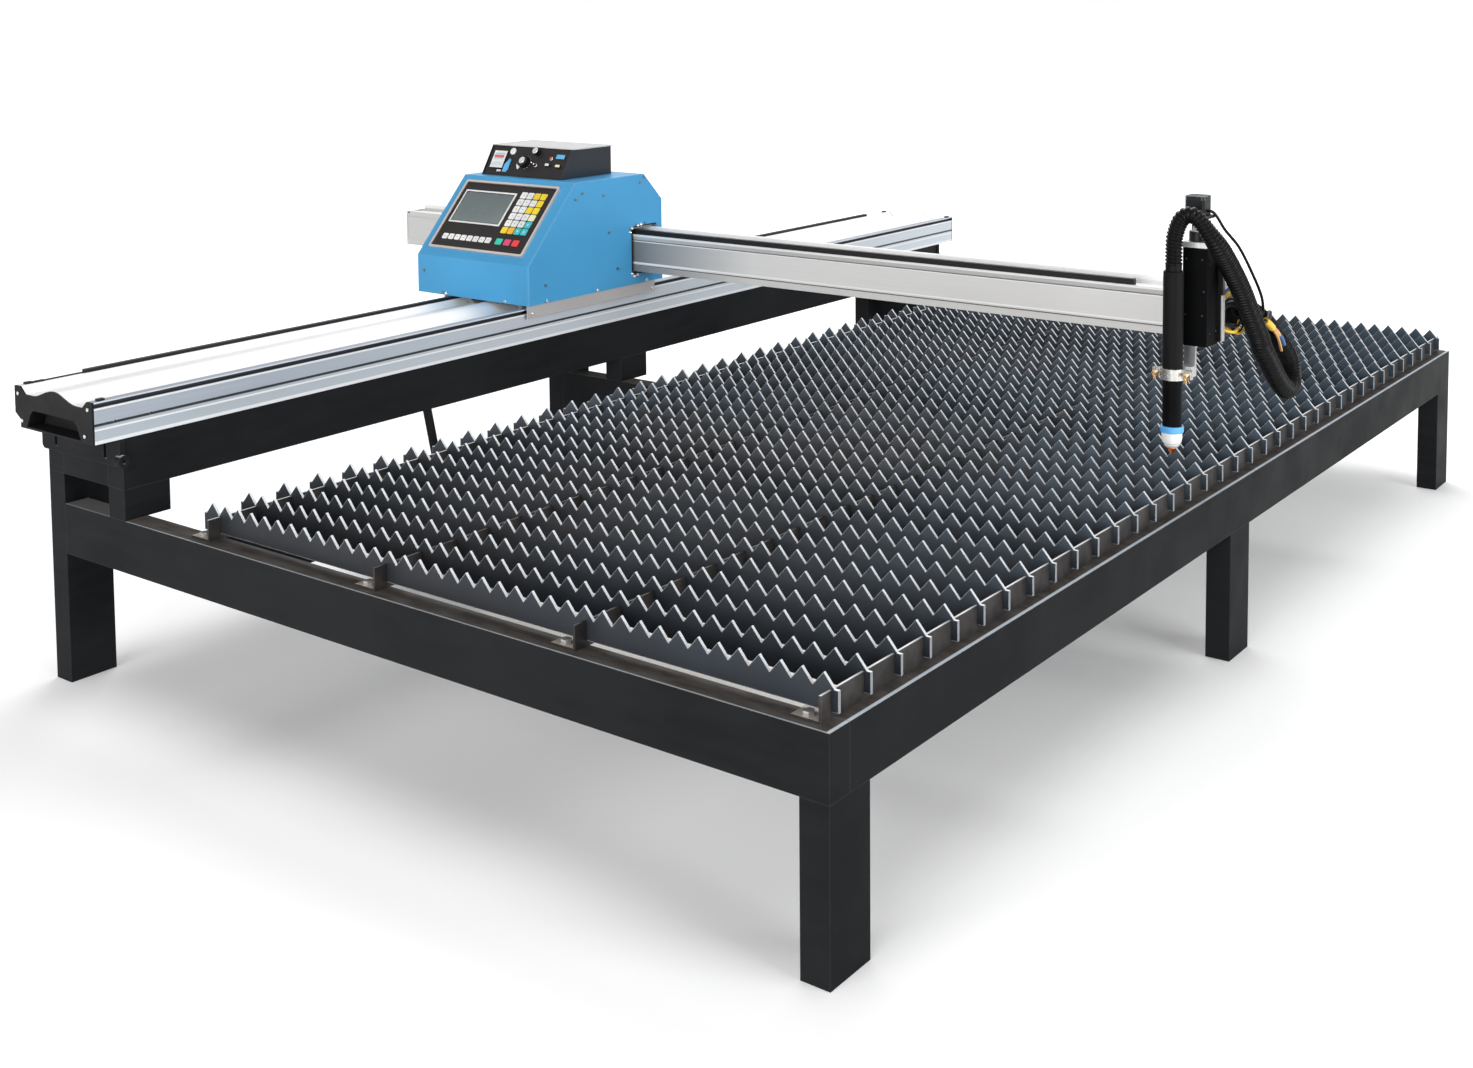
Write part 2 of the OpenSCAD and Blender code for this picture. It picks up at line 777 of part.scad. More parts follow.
// The black gear rack that lies on the rail's left flange, and the stops at the flanges' ends
module rail_rack() {
    stop_in = 12;
    stop_w = 10;
    stop_h = 4;
    color("#17181a") {
        translate([rack_x, rack_end - rail_front, rail_top])
            cube([rack_w, rail_l - 2 * rack_end, rack_h]);
        for (x = [rail_left + 4, rail_left + rail_w - 4 - stop_w])
            for (y = [stop_in - rail_front, table_l + rail_rear - stop_in - stop_l])
                translate([x, y, rail_top]) cube([stop_w, stop_l, stop_h]);
    }
}

// Screws through the end caps
module rail_screws() {
    screw_r = 3.5;
    screw_t = 2;
    spots = [for (side = [-1, 1]) each [
        [support_mid + side * (rail_w / 2 - flange_w + 5), rail_z + rail_h - 14],
        [support_mid + side * (channel_bottom + 9), rail_z + 14]
    ]];
    color("#c8c8c8") for (p = spots) {
        translate([p[0], -rail_front - cap_t - screw_t, p[1]]) rod_y(screw_t, screw_r);
        translate([p[0], table_l + rail_rear + cap_t, p[1]]) rod_y(screw_t, screw_r);
    }
}

// The toothed outline of one slat
module slat_outline() {
    teeth = [for (i = [0:tooth_n - 1]) each [
        [slat_tail + i * tooth_pitch, slat_h - tooth_h],
        [slat_tail + (i + 0.5) * tooth_pitch, slat_h]
    ]];
    polygon(concat(
        [[slat_l, 0], [0, 0], [0, slat_h - tooth_h]],
        teeth,
        [[slat_l - slat_tail, slat_h - tooth_h], [slat_l, slat_h - tooth_h]]
    ));
}

module slats() {
    for (i = [0:slat_n - 1])
        color("#4a545e") translate([slat_x, first_slat_y + i * slat_pitch - slat_t / 2, slat_z])
            along_y(slat_t) slat_outline();
}

// A steel angle whose upright flange is slotted for the slats
module comb(face_x) {
    length = table_l - 2 * comb_end;
    slot_w = slat_t + 2 * comb_slot_gap;
    color("#4a4642") difference() {
        union() {
            translate([face_x - comb_t, comb_end, comb_z]) cube([comb_t, length, comb_h]);
            translate([face_x - comb_foot, comb_end, comb_z])
                cube([comb_foot - comb_t, length, comb_t]);
        }
        for (i = [0:slat_n - 1])
            translate([face_x - comb_t - 1, first_slat_y + i * slat_pitch - slot_w / 2, slat_z])
                cube([comb_t + 2, slot_w, comb_h]);
    }
}

module combs() { for (x = comb_xs) comb(x); }

module comb_bolts() {
    from_end = comb_end + 11;
    for (x = comb_xs, y = [from_end, table_l - from_end])
        color("#b5b0a8") translate([x - comb_foot * 0.55, y, comb_z + comb_t])
            cylinder(h = bolt_h, d = bolt_af / cos(30), $fn = 6);
}

// The carriage's base plate, open over the wheels and the pinion
module carriage_plate() {
    x0 = housing_x + side_t + small_gap;
    width = housing_w - 2 * (side_t + small_gap);
    y0 = carriage_y + sheet_t + small_gap;
    length = housing_l - 2 * (sheet_t + small_gap);
    wheel_slot = 2 * wheel_r + 8;
    slot_half = axle_half - axle_block_w + 3;
    color("#8d9296") difference() {
        union() {
            difference() {
                translate([x0, y0, base_z]) cube([width, length, base_t]);
                for (y = axle_ys)
                    translate([support_mid - slot_half, y - wheel_slot / 2, base_z - 1])
                        cube([2 * slot_half, wheel_slot, base_t + 2]);
                translate([rack_x - 6, rail_pinion_y - rail_pinion_r - 6, base_z - 1])
                    cube([rack_w + 12, 2 * rail_pinion_r + 12, base_t + 2]);
            }
            for (y = axle_ys, side = [-1, 1]) axle_block(side, y);
        }
        for (y = axle_ys)
            translate([support_mid - axle_half - 1, y, axle_z])
                rod_x(2 * axle_half + 2, axle_d / 2 + run_gap);
    }
}

// A bearing block that stands through the base plate, just above the rail
module axle_block(side, y) {
    x = support_mid + side * (axle_half - axle_block_w / 2);
    translate([x - axle_block_w / 2, y - axle_block_w, rail_top + rail_clear])
        cube([axle_block_w, 2 * axle_block_w, axle_z + axle_block_w - rail_top - rail_clear]);
}

// The steel skirts that hang beside the rail
module carriage_skirts() {
    skirt_l = housing_l - 26;
    left_x = rail_left - skirt_gap - skirt_t;
    right_x = rail_left + rail_w + skirt_gap;
    color("#b9bdc0") for (x = [left_x, right_x])
        translate([x, carriage_y - 2, base_z - skirt_h]) cube([skirt_t, skirt_l, skirt_h]);
}

// The housing's side outline, in the distance back and the height
function housing_points(inset) = let (
    back = housing_l - inset,
    top = housing_h - inset,
    foot = inset * tan((90 - slant_angle) / 2),
    crown = inset * tan(slant_angle / 2),
    chamfer = inset * tan(22.5)
) [
    [inset, 0], [inset, front_wall_h - foot], [slant_run + crown, top],
    [housing_l - rear_chamfer - chamfer, top], [back, housing_h - rear_chamfer - chamfer], [back, 0]
];

// Moves a drawing made in the slanted face's own plane onto the housing
module on_slant(lift = 0) {
    translate([housing_x, carriage_y, slant_z]) rotate([slant_angle, 0, 0])
        translate([0, 0, lift]) children();
}

module housing_shell() {
    opening = 10;
    color("#4ba3dc") difference() {
        translate([housing_x + side_t, carriage_y, housing_z]) along_x(housing_w - 2 * side_t)
            difference() {
                polygon(housing_points(0));
                translate([0, -1]) polygon([for (p = housing_points(sheet_t)) [p[0], p[1] + 1]]);
                translate([sheet_t, -1]) square([housing_l - 2 * sheet_t, 2]);
            }
        on_slant(-4 * sheet_t)
            translate([bezel_in + opening, bezel_up + opening, 0])
                cube([bezel_w - 2 * opening, bezel_h - 2 * opening, 8 * sheet_t]);
    }
}

// A side plate with the window that the gantry beam slides through
module housing_side(x) {
    margin = 5;
    color("#4ba3dc") difference() {
        translate([x, carriage_y, housing_z]) along_x(side_t) polygon(housing_points(0));
        translate([x - 1, beam_y - margin, beam_z - margin])
            cube([side_t + 2, beam_d + 2 * margin, beam_h + beam_rack_h + 2 * margin]);
    }
}

module housing_side_right() { housing_side(housing_x + housing_w - side_t); }
module housing_side_left() { housing_side(housing_x); }

// Pan head screws on the housing's right side and front
module housing_screws() {
    head_r = 3.5;
    head_t = 2.5;
    right_face = housing_x + housing_w;
    // Shares of the side's length and height
    spots = [
        [0.337, 0.853], [0.388, 0.899], [0.543, 0.853], [0.58, 0.514], [0.644, 0.173],
        [0.115, 0.155], [0.489, 0.018], [0.873, 0.018], [0.117, 0.018], [0.826, 0.924],
        [0.859, 0.968], [0.798, 0.54], [0.863, 0.547], [0.952, 0.507], [0.749, 0.514],
        [0.794, 0.09], [0.848, 0.079]
    ];
    color("#c8c8c8") {
        for (p = spots)
            translate([right_face, carriage_y + p[0] * housing_l, housing_z + p[1] * housing_h])
                rod_x(head_t, head_r);
        for (p = [[0.055, 0.198], [0.226, 0.018], [0.787, 0.018]])
            translate([housing_x + p[0] * housing_w, carriage_y - head_t, housing_z + p[1] * housing_h])
                rod_y(head_t, head_r);
    }
}

module panel_bezel() {
    rim = 2 * bezel_rim;
    color("#9a9087") on_slant() translate([bezel_in, bezel_up, 0]) difference() {
        linear_extrude(height = bezel_t) rounded_square([bezel_w, bezel_h], bezel_rim);
        translate([bezel_rim, bezel_rim, -1])
            linear_extrude(height = bezel_t + 2)
                rounded_square([bezel_w - rim, bezel_h - rim], bezel_rim / 2);
    }
}

// The dark face inside the bezel, with the controller's case behind it
module panel_face() {
    rim = bezel_rim + small_gap;
    case_in = 24;
    case_d = 40;
    color("#232323") on_slant() translate([bezel_in, bezel_up, 0]) {
        translate([rim, rim, 0]) linear_extrude(height = face_t)
            cut_square([bezel_w - 2 * rim, bezel_h - 2 * rim], bezel_rim / 3);
        translate([case_in, case_in, -case_d])
            cube([bezel_w - 2 * case_in, bezel_h - 2 * case_in, case_d]);
    }
}

module screen() {
    color("#8a948c") on_slant(face_t) translate([bezel_in + screen_in, bezel_up + screen_up, 0]) {
        difference() {
            cube([screen_w, screen_h, screen_t]);
            translate([screen_rim, screen_rim, screen_t / 2])
                cube([screen_w - 2 * screen_rim, screen_h - 2 * screen_rim, screen_t]);
        }
    }
}

module key(x, y) {
    translate([x - key_w / 2, y - key_h / 2, 0]) cube([key_w, key_h, key_t]);
}

// Eleven keys under the screen and a block of twenty-four beside it
module keypad() {
    low_y = bezel_up + key_in;
    first_x = bezel_in + key_in;
    block_x = bezel_in + bezel_w - key_in - 3 * key_pitch;
    block_y = low_y + key_block_up;
    color("#e8e8e6") on_slant(face_t) {
        for (i = [0:7]) key(first_x + i * key_pitch * 0.965, low_y);
        for (i = [0:2]) key(bezel_in + bezel_w - key_last_in + i * key_pitch * 1.27, low_y);
        for (i = [0:3], j = [0:5]) key(block_x + i * key_pitch, block_y + j * key_row);
    }
}

// The height control box's side outline, under its lid
thc_slope = 1 / tan(thc_angle);
thc_outline = [[0, 0], [(thc_h - thc_lid_t) * thc_slope, thc_h - thc_lid_t], [thc_l, thc_h - thc_lid_t], [thc_l, 0]];

module on_thc_face(lift = 0) {
    translate([thc_x, thc_y, thc_z]) rotate([thc_angle, 0, 0]) translate([0, 0, lift]) children();
}

knob_spot = [thc_w * 0.48, thc_face_h * 0.49];
dial_spot = [thc_w * 0.6, thc_face_h * 0.82];

module height_box() {
    color("#1b1c1e") difference() {
        translate([thc_x, thc_y, thc_z]) along_x(thc_w) polygon(thc_outline);
        translate([thc_x + thc_wall, thc_y - 1, thc_z + thc_wall])
            cube([thc_w - 2 * thc_wall, thc_l + 1 - thc_wall, thc_h]);
    }
}

// The light sheet lid, whose sides lap over the box
module height_lid() {
    lap = thc_lid_t + small_gap;
    color("#e6e6e4") difference() {
        translate([thc_x - lap, thc_y, thc_z]) along_x(thc_w + 2 * lap) polygon([
            [thc_lean, thc_h - thc_lid_t], [thc_lean, thc_h],
            [thc_l + lap, thc_h], [thc_l + lap, thc_h - thc_lap], [thc_lean + 20, thc_h - thc_lap]
        ]);
        translate([thc_x - small_gap, thc_y, thc_z - 1])
            cube([thc_w + 2 * small_gap, thc_l + small_gap, thc_h - thc_lid_t + 1]);
    }
}

// The front plate with its two bores, its display, its lamps and its switches
module height_face() {
    rim = thc_wall + small_gap;
    front = thc_recess / sin(thc_angle);
    back = front + thc_plate_t / sin(thc_angle);
    low = thc_wall + small_gap;
    high = thc_h - thc_lid_t - small_gap;
    color("#26272a") difference() {
        union() {
            translate([thc_x + rim, thc_y, thc_z]) along_x(thc_w - 2 * rim) polygon([
                [low * thc_slope + front, low], [high * thc_slope + front, high],
                [high * thc_slope + back, high], [low * thc_slope + back, low]
            ]);
            on_thc_face(-thc_recess) {
                translate([17, 20, 0]) cube([46, 50, 4]);
                translate([thc_w * 0.84, thc_face_h * 0.66, 0]) cube([30, 13, 1.5]);
                translate([thc_w * 0.79, thc_face_h * 0.66, 0]) cylinder(h = 4, r = 3.5, $fn = 32);
                translate([thc_w * 0.75, thc_face_h * 0.4, 0]) cube([14, 8, 5]);
                translate([thc_w * 0.88, thc_face_h * 0.38, 0]) cube([16, 8, 5]);
                translate([thc_w * 0.62, thc_face_h * 0.42, 0]) cylinder(h = 8, r = 4, $fn = 32);
            }
        }
        for (p = [knob_spot, dial_spot])
            on_thc_face(-4 * thc_recess) translate([p[0], p[1], 0])
                cylinder(h = 6 * thc_recess, r = knob_shaft_d / 2 + run_gap, $fn = round_fn);
    }
}

// A turned knob with its shaft, which runs in the face's bore
module knob(spot, d) {
    flutes = 12;
    on_thc_face(-thc_recess + small_gap) translate([spot[0], spot[1], 0]) {
        difference() {
            cylinder(h = knob_l, d = d, $fn = round_fn);
            for (i = [0:flutes - 1]) rotate([0, 0, i * 360 / flutes])
                translate([d / 2 + 0.6, 0, knob_l * 0.3]) cylinder(h = knob_l, r = 1.6, $fn = 16);
            translate([-0.8, d * 0.15, knob_l - 0.8]) cube([1.6, d / 2, 2]);
        }
        translate([0, 0, -12]) cylinder(h = 12, d = knob_shaft_d, $fn = round_fn);
    }
}

module height_knob() { color("#141414") knob(knob_spot, knob_d); }
module height_dial() { color("#141414") knob(dial_spot, small_knob_d); }

// The motor that drives the rail pinion, on its foot
module rail_motor() {
    x0 = rack_mid_x + rack_w / 2 + 12;
    color("#1d1e20") {
        translate([x0, rail_pinion_y - motor_w / 2, rail_pinion_z - motor_w / 2])
            cube([motor_l, motor_w, motor_w]);
        translate([x0, rail_pinion_y - motor_w / 2, base_top])
            cube([motor_l, motor_w, rail_pinion_z - motor_w / 2 - base_top]);
    }
}

module toothed_wheel(radius, width, teeth) {
    depth = 2;
    linear_extrude(height = width) difference() {
        circle(r = radius, $fn = 96);
        for (i = [0:teeth - 1]) rotate(i * 360 / teeth)
            polygon([[radius + 1, -1.4], [radius - depth, -0.5], [radius - depth, 0.5], [radius + 1, 1.4]]);
    }
}

module rail_pinion() {
    reach = rack_w / 2 + 12 - small_gap;
    color("#9fa3a6") translate([rack_mid_x, rail_pinion_y, rail_pinion_z]) {
        translate([-rack_w / 2, 0, 0]) rotate([90, 0, 90]) toothed_wheel(rail_pinion_r, rack_w, 40);
        rod_x(reach, shaft_d / 2);
    }
}

// The motor that drives the beam pinion, held on a stand from the base plate
module beam_motor() {
    y0 = beam_rack_y - 14 - motor_l;
    stand_x = beam_pinion_x - motor_w / 2;
    color("#1d1e20") {
        translate([stand_x, y0, beam_pinion_z - motor_w / 2]) cube([motor_w, motor_l, motor_w]);
        translate([stand_x, y0 + motor_l - 16, base_top])
            cube([motor_w, 10, beam_pinion_z - motor_w / 2 - base_top]);
    }
}

module beam_pinion() {
    reach = 14 - small_gap;
    color("#9fa3a6") translate([beam_pinion_x, beam_rack_y, beam_pinion_z]) {
        rotate([-90, 0, 0]) toothed_wheel(beam_pinion_r, beam_rack_w, 28);
        translate([0, -reach, 0]) rod_y(reach + 1, shaft_d / 2);
    }
}

// Two wheels on one axle
module axle_set(y) {
    color("#b9bdc0") translate([support_mid, y, axle_z]) {
        translate([-axle_half, 0, 0]) rod_x(2 * axle_half, axle_d / 2);
        for (side = [-1, 1]) translate([side * valley_x - wheel_w / 2, 0, 0]) rod_x(wheel_w, wheel_r);
    }
}

module axle_front() { axle_set(axle_ys[0]); }
module axle_rear() { axle_set(axle_ys[1]); }

// Two portals that the gantry beam slides through, with bores for the rollers
module beam_guides() {
    cheek = 8;
    portal = roller_r + 1;
    y0 = beam_y - cheek - beam_play;
    depth = beam_d + 2 * (cheek + beam_play);
    height = beam_top + beam_rack_h + 14 - base_top;
    color("#6d7174") for (x = roller_xs) difference() {
        translate([x - portal, y0, base_top]) cube([2 * portal, depth, height]);
        translate([x - portal - 1, beam_y - beam_play, beam_z - beam_play])
            cube([2 * portal + 2, beam_d + 2 * beam_play, beam_h + beam_rack_h + 2 * beam_play]);
        translate([x - roller_r - 1, beam_y + 6, base_top - 1])
            cube([2 * roller_r + 2, beam_d - 12, beam_z - base_top + 2]);
        translate([x, y0 - 1, roller_z]) rod_y(depth + 2, shaft_d / 2 + run_gap);
    }
}

module roller(x) {
    color("#b9bdc0") translate([x, 0, roller_z]) {
        translate([0, beam_y + (beam_d - roller_l) / 2, 0]) rod_y(roller_l, roller_r);
        translate([0, beam_y - 8, 0]) rod_y(beam_d + 16, shaft_d / 2);
    }
}

module roller_left() { roller(roller_xs[0]); }
module roller_right() { roller(roller_xs[1]); }

// The beam's outline, in the distance back and the height
module beam_outline() {
    lower = 15;
    rib = 3;
    upper = 14;
    difference() {
        square([beam_d, beam_h]);
        translate([-1, lower + rib]) square([2, beam_h - lower - rib - upper - 2]);
        translate([-1, beam_h - upper]) square([2.6, 2]);
        translate([beam_d - 1, lower]) square([2, beam_h - lower - upper]);
        translate([20, beam_h - 4]) square([beam_d - 40, 5]);
    }
    translate([beam_d - 14, beam_h]) square([12, beam_rack_h]);
}

module beam_chambers() {
    middle = 18;
    inset = beam_wall + 1.5;
    translate([inset, beam_wall]) square([beam_d - 2 * inset, middle]);
    translate([inset, 2 * beam_wall + middle])
        square([beam_d - 2 * inset, beam_h - 3 * beam_wall - middle - 4]);
}

module gantry_beam() {
    color("#c9cbcc") translate([beam_x, beam_y, beam_z]) along_x(beam_l) difference() {
        beam_outline();
        beam_chambers();
    }
}

module beam_rack() {
    color("#141414") translate([beam_x + beam_rack_from, beam_rack_y, beam_top])
        cube([beam_l - beam_rack_from - beam_rack_to, beam_rack_w, beam_rack_h]);
}

// A plate on each end of the beam, the right one with the hose's gland
module beam_end_plates() {
    wide = beam_end + end_plate_t;
    arm_top = gland_z + 26;
    color("#c9cbcc") {
        translate([beam_x - end_plate_t, beam_y, beam_z]) cube([end_plate_t, beam_d, beam_h]);
        translate([beam_end, beam_y, beam_z]) cube([end_plate_t, beam_d, beam_h]);
        difference() {
            translate([wide, beam_y + beam_d - 6, gland_z - 26])
                cube([gland_x + 20 - wide, 6, arm_top - gland_z + 26]);
            translate([gland_x, beam_y + beam_d - 7, gland_z]) rod_y(8, hose_r / 2);
        }
        translate([gland_x, beam_y + beam_d, gland_z]) difference() {
            rod_y(gland_y - beam_y - beam_d - small_gap, hose_r + 3);
            translate([0, -1, 0]) rod_y(gland_y - beam_y - beam_d + 2, hose_r / 2);
        }
    }
}

// The lifter's black cover, open below for the arm
module lifter_housing() {
    w = lifter_wall;
    color("#1d1e20") difference() {
        translate([lifter_x, lifter_y, lifter_z]) cube([lifter_w, lifter_d, lifter_h]);
        translate([lifter_x + w, lifter_y + w, lifter_z - 1])
            cube([lifter_w - 2 * w, lifter_d, lifter_h + 2]);
    }
}

// The back plate, the spacer, the top plate and the guide rods
module lifter_frame() {
    plate_y = lifter_y + lifter_d;
    side = 2;
    color("#a9adb0") {
        difference() {
            union() {
                translate([lifter_x - 10, plate_y, lifter_z + 4])
                    cube([lifter_w + 20, lifter_plate_t, lifter_h - 4]);
                translate([lifter_x - 10, plate_y + lifter_plate_t, lifter_z + 4])
                    cube([lifter_w - 20, spacer_d, beam_h - 20]);
                translate([lifter_x - side, lifter_y - side, lifter_top])
                    cube([lifter_w + 2 * side, lifter_d + lifter_plate_t + side, lifter_top_t]);
            }
            translate([screw_x, screw_y, lifter_top - 1])
                cylinder(h = lifter_top_t + 2, r = screw_d / 2 + run_gap, $fn = round_fn);
        }
        for (dx = [-rod_x, rod_x]) translate([screw_x + dx, screw_y, lifter_z + 8])
            cylinder(h = lifter_top - lifter_z - 8, d = rod_d, $fn = round_fn);
        translate([screw_x - rod_x - 6, screw_y - 4, lifter_z + 4])
            cube([2 * rod_x + 12, plate_y - screw_y + 4, 4]);
        translate([screw_x - lift_motor_w / 2, screw_y + coupling_d / 2 + 1, top_plate_top])
            cube([lift_motor_w * 0.7, 4, coupling_h]);
    }
}

module lifter_motor() {
    half = lift_motor_w / 2;
    color("#1d1e20") translate([screw_x, screw_y, 0]) {
        difference() {
            translate([-motor_plate_w / 2, -half - 3, motor_plate_z])
                cube([motor_plate_w, lift_motor_w + 6, motor_plate_t]);
            translate([0, 0, motor_plate_z - 1])
                cylinder(h = motor_plate_t + 2, r = screw_d / 2 + 1, $fn = round_fn);
        }
        difference() {
            translate([-half, -half, lift_motor_z]) cube([lift_motor_w, lift_motor_w, lift_motor_h]);
            for (a = [45:90:315]) rotate([0, 0, a])
                translate([half * 1.41 - 3, -half, lift_motor_z - 1])
                    cube([half, lift_motor_w, lift_motor_h + 2]);
        }
    }
}

// The lifting screw with its coupling
module lift_screw() {
    foot = lifter_z + 8 + small_gap;
    color("#1a1a1a") translate([screw_x, screw_y, 0]) {
        translate([0, 0, foot])
            cylinder(h = motor_plate_z - foot + 4, d = screw_d, $fn = round_fn);
        translate([0, 0, top_plate_top + 1])
            cylinder(h = coupling_low, d = coupling_d, $fn = round_fn);
        translate([0, 0, top_plate_top + coupling_low])
            cylinder(h = coupling_h - coupling_low - 4, d = coupling_d * 0.6, $fn = round_fn);
    }
}

// The block that slides on the rods, with the arm that carries the clamp
module lift_arm() {
    block_w = 2 * rod_x + rod_d + 8;
    arm_x = lifter_x + lifter_wall + 1;
    arm_y = screw_y - block_d / 2 - arm_t;
    ring_back = torch_y + sleeve_r + clamp_t;
    color("#c3c5c7") {
        difference() {
            translate([screw_x - block_w / 2, screw_y - block_d / 2, block_z])
                cube([block_w, block_d, block_h]);
            for (dx = [-rod_x, rod_x]) translate([screw_x + dx, screw_y, block_z - 1])
                cylinder(h = block_h + 2, r = rod_d / 2 + run_gap, $fn = round_fn);
            translate([screw_x, screw_y, block_z - 1])
                cylinder(h = block_h + 2, r = screw_d / 2 + run_gap, $fn = round_fn);
        }
        translate([arm_x, arm_y, clamp_z]) cube([arm_w, arm_t, block_z + block_h - clamp_z]);
        translate([arm_x, ring_back - 1, clamp_z]) cube([arm_w, arm_y - ring_back + 1, clamp_h]);
    }
}

// The split clamp ring with its two ears, cut round the torch
module torch_clamp() {
    outer = sleeve_r + clamp_t;
    ear_t = 4;
    split = 3;
    arm_x = lifter_x + lifter_wall + 1;
    color("#c3c5c7") translate([torch_x, torch_y, clamp_z]) {
        difference() {
            union() {
                cylinder(h = clamp_h, r = outer, $fn = round_fn);
                for (side = [-1, 1]) translate([0, side * (ear_t + split) / 2, clamp_h / 2])
                    cube([2 * ear_x, ear_t, clamp_h * 0.8], center = true);
            }
            translate([0, 0, -1]) cylinder(h = clamp_h + 2, r = sleeve_r + run_gap, $fn = round_fn);
            translate([-ear_x - 1, -split / 2, -1]) cube([2 * ear_x + 2, split, clamp_h + 2]);
            translate([arm_x - torch_x, outer - 1, -1])
                cube([arm_w, clamp_t, clamp_h + 2]);
        }
        for (side = [-1, 1]) translate([side * (ear_x - 8), -14, clamp_h / 2]) rod_y(28, 3);
    }
}

// The torch's upper sleeve and its barrel
module torch_body() {
    color("#18191b") translate([torch_x, torch_y, 0]) difference() {
        union() {
            translate([0, 0, clamp_z - 6])
                cylinder(h = sleeve_top - clamp_z + 6, r = sleeve_r, $fn = round_fn);
            translate([0, 0, barrel_z]) cylinder(h = clamp_z - barrel_z, r = barrel_r, $fn = round_fn);
        }
        translate([0, 0, clamp_top])
            cylinder(h = sleeve_l + 1, r = hose_r - sleeve_wall, $fn = round_fn);
    }
}

// Turns an outline of radii and heights about the torch's own line
module turned(z) {
    translate([torch_x, torch_y, z]) rotate_extrude($fn = round_fn) children();
}

module torch_collar() {
    color("#2f8fd0") turned(collar_z) polygon([
        [0, 0], [collar_r - 1, 0], [collar_r, 2], [collar_r, collar_h - 2],
        [collar_r - 1, collar_h], [0, collar_h]
    ]);
}

module torch_cup() {
    color("#f2f2f0") turned(cup_z) polygon([
        [nozzle_r / 2, 0], [cup_mouth_r - 3.5, 0], [cup_mouth_r, cup_taper * 0.4],
        [cup_mouth_r, cup_taper * 0.75], [cup_r * 0.9, cup_taper], [cup_r - 0.5, cup_taper * 1.7],
        [cup_r, cup_taper + cup_h], [nozzle_r / 2, cup_taper + cup_h]
    ]);
}

module torch_nozzle() {
    color("#b8622e") turned(nozzle_z) polygon([
        [1.5, 0], [3.5, 0], [nozzle_r - 2, nozzle_l * 0.5], [nozzle_r, nozzle_l * 0.8],
        [nozzle_r, nozzle_l], [1.5, nozzle_l]
    ]);
}

// Vector helpers for the swept tubes
function unit(v) = v / norm(v);
function along(path, i) = unit(path[min(i + 1, len(path) - 1)] - path[max(i - 1, 0)]);

// A frame that is carried from ring to ring without turning about the path
function carry(path, i) = i == 0
    ? unit(cross(along(path, 0), [0, 1, 0.01]))
    : let (last = carry(path, i - 1), t = along(path, i)) unit(last - t * (last * t));

// Points of a closed tube: rings of points, then a middle point at each end
function ring(path, i, r, sides) = let (t = along(path, i), u = carry(path, i), v = cross(t, u))
    [for (k = [0:sides - 1]) path[i] + r * (cos(360 * k / sides) * u + sin(360 * k / sides) * v)];

module swept_tube(path, radii, sides) {
    n = len(path);
    points = concat([for (i = [0:n - 1]) each ring(path, i, radii[i], sides)], [path[0], path[n - 1]]);
    sides_of = [for (i = [0:n - 2], k = [0:sides - 1]) let (
        a = i * sides + k, b = i * sides + (k + 1) % sides, c = b + sides, d = a + sides
    ) each [[a, b, c], [a, c, d]]];
    ends = [for (k = [0:sides - 1]) each [
        [n * sides, (k + 1) % sides, k],
        [n * sides + 1, (n - 1) * sides + k, (n - 1) * sides + (k + 1) % sides]
    ]];
    polyhedron(points = points, faces = concat(sides_of, ends));
}

// A smooth curve through the route's points, with steps between each pair
function spline(p, i, t) = let (
    n = len(p) - 1, a = p[max(i - 1, 0)], b = p[i], c = p[min(i + 1, n)], d = p[min(i + 2, n)]
) 0.5 * (2 * b + (c - a) * t + (2 * a - 5 * b + 4 * c - d) * t * t + (3 * b - a - 3 * c + d) * t * t * t);
function smooth(p, steps) = concat(
    [for (i = [0:len(p) - 2], s = [0:steps - 1]) spline(p, i, s / steps)], [p[len(p) - 1]]
);

// A swept tube with a bore, whose inside has fewer rings than its outside
module swept_hose(path, radii, bore_path, bore_r, sides) {
    n = len(path);
    m = len(bore_path);
    points = concat(
        [for (i = [0:n - 1]) each ring(path, i, radii[i], sides)],
        [for (i = [0:m - 1]) each ring(bore_path, i, bore_r, sides)]
    );
    function wall(first, rings, turn) = [for (i = [0:rings - 2], k = [0:sides - 1]) let (
        a = first + i * sides + k, b = first + i * sides + (k + 1) % sides, c = b + sides, d = a + sides
    ) each (turn ? [[a, c, b], [a, d, c]] : [[a, b, c], [a, c, d]])];
    function rim(outer, inner, turn) = [for (k = [0:sides - 1]) let (
        a = outer + k, b = outer + (k + 1) % sides, c = inner + (k + 1) % sides, d = inner + k
    ) each (turn ? [[a, c, b], [a, d, c]] : [[a, b, c], [a, c, d]])];
    polyhedron(points = points, faces = concat(
        wall(0, n, false), wall(n * sides, m, true),
        rim(0, n * sides, true), rim((n - 1) * sides, (n + m - 1) * sides, false)
    ));
}

// The ribbed hose from the torch's sleeve to the gland, narrow first and wide after the arch
module torch_hose() {
    steps = 8;
    plain_rings = 6;
    base = [for (p = hose_route) p + hose_start];
    path = smooth(base, steps);
    n = len(path);
    radii = [for (i = [0:n - 1]) let (
        near_end = min(i / steps - 5, (n - 1 - i) / steps - 4),
        r = hose_r - hose_rib + (hose_wide_r - hose_r) * min(1, max(0, near_end)),
        plain = i < plain_rings || i > n - plain_rings
    ) plain ? hose_r - hose_rib : r + (i % 2 == 0 ? 0 : hose_rib)];
    color("#161616") swept_hose(path, radii, smooth(base, 2), hose_r - hose_rib - hose_wall, 8);
}

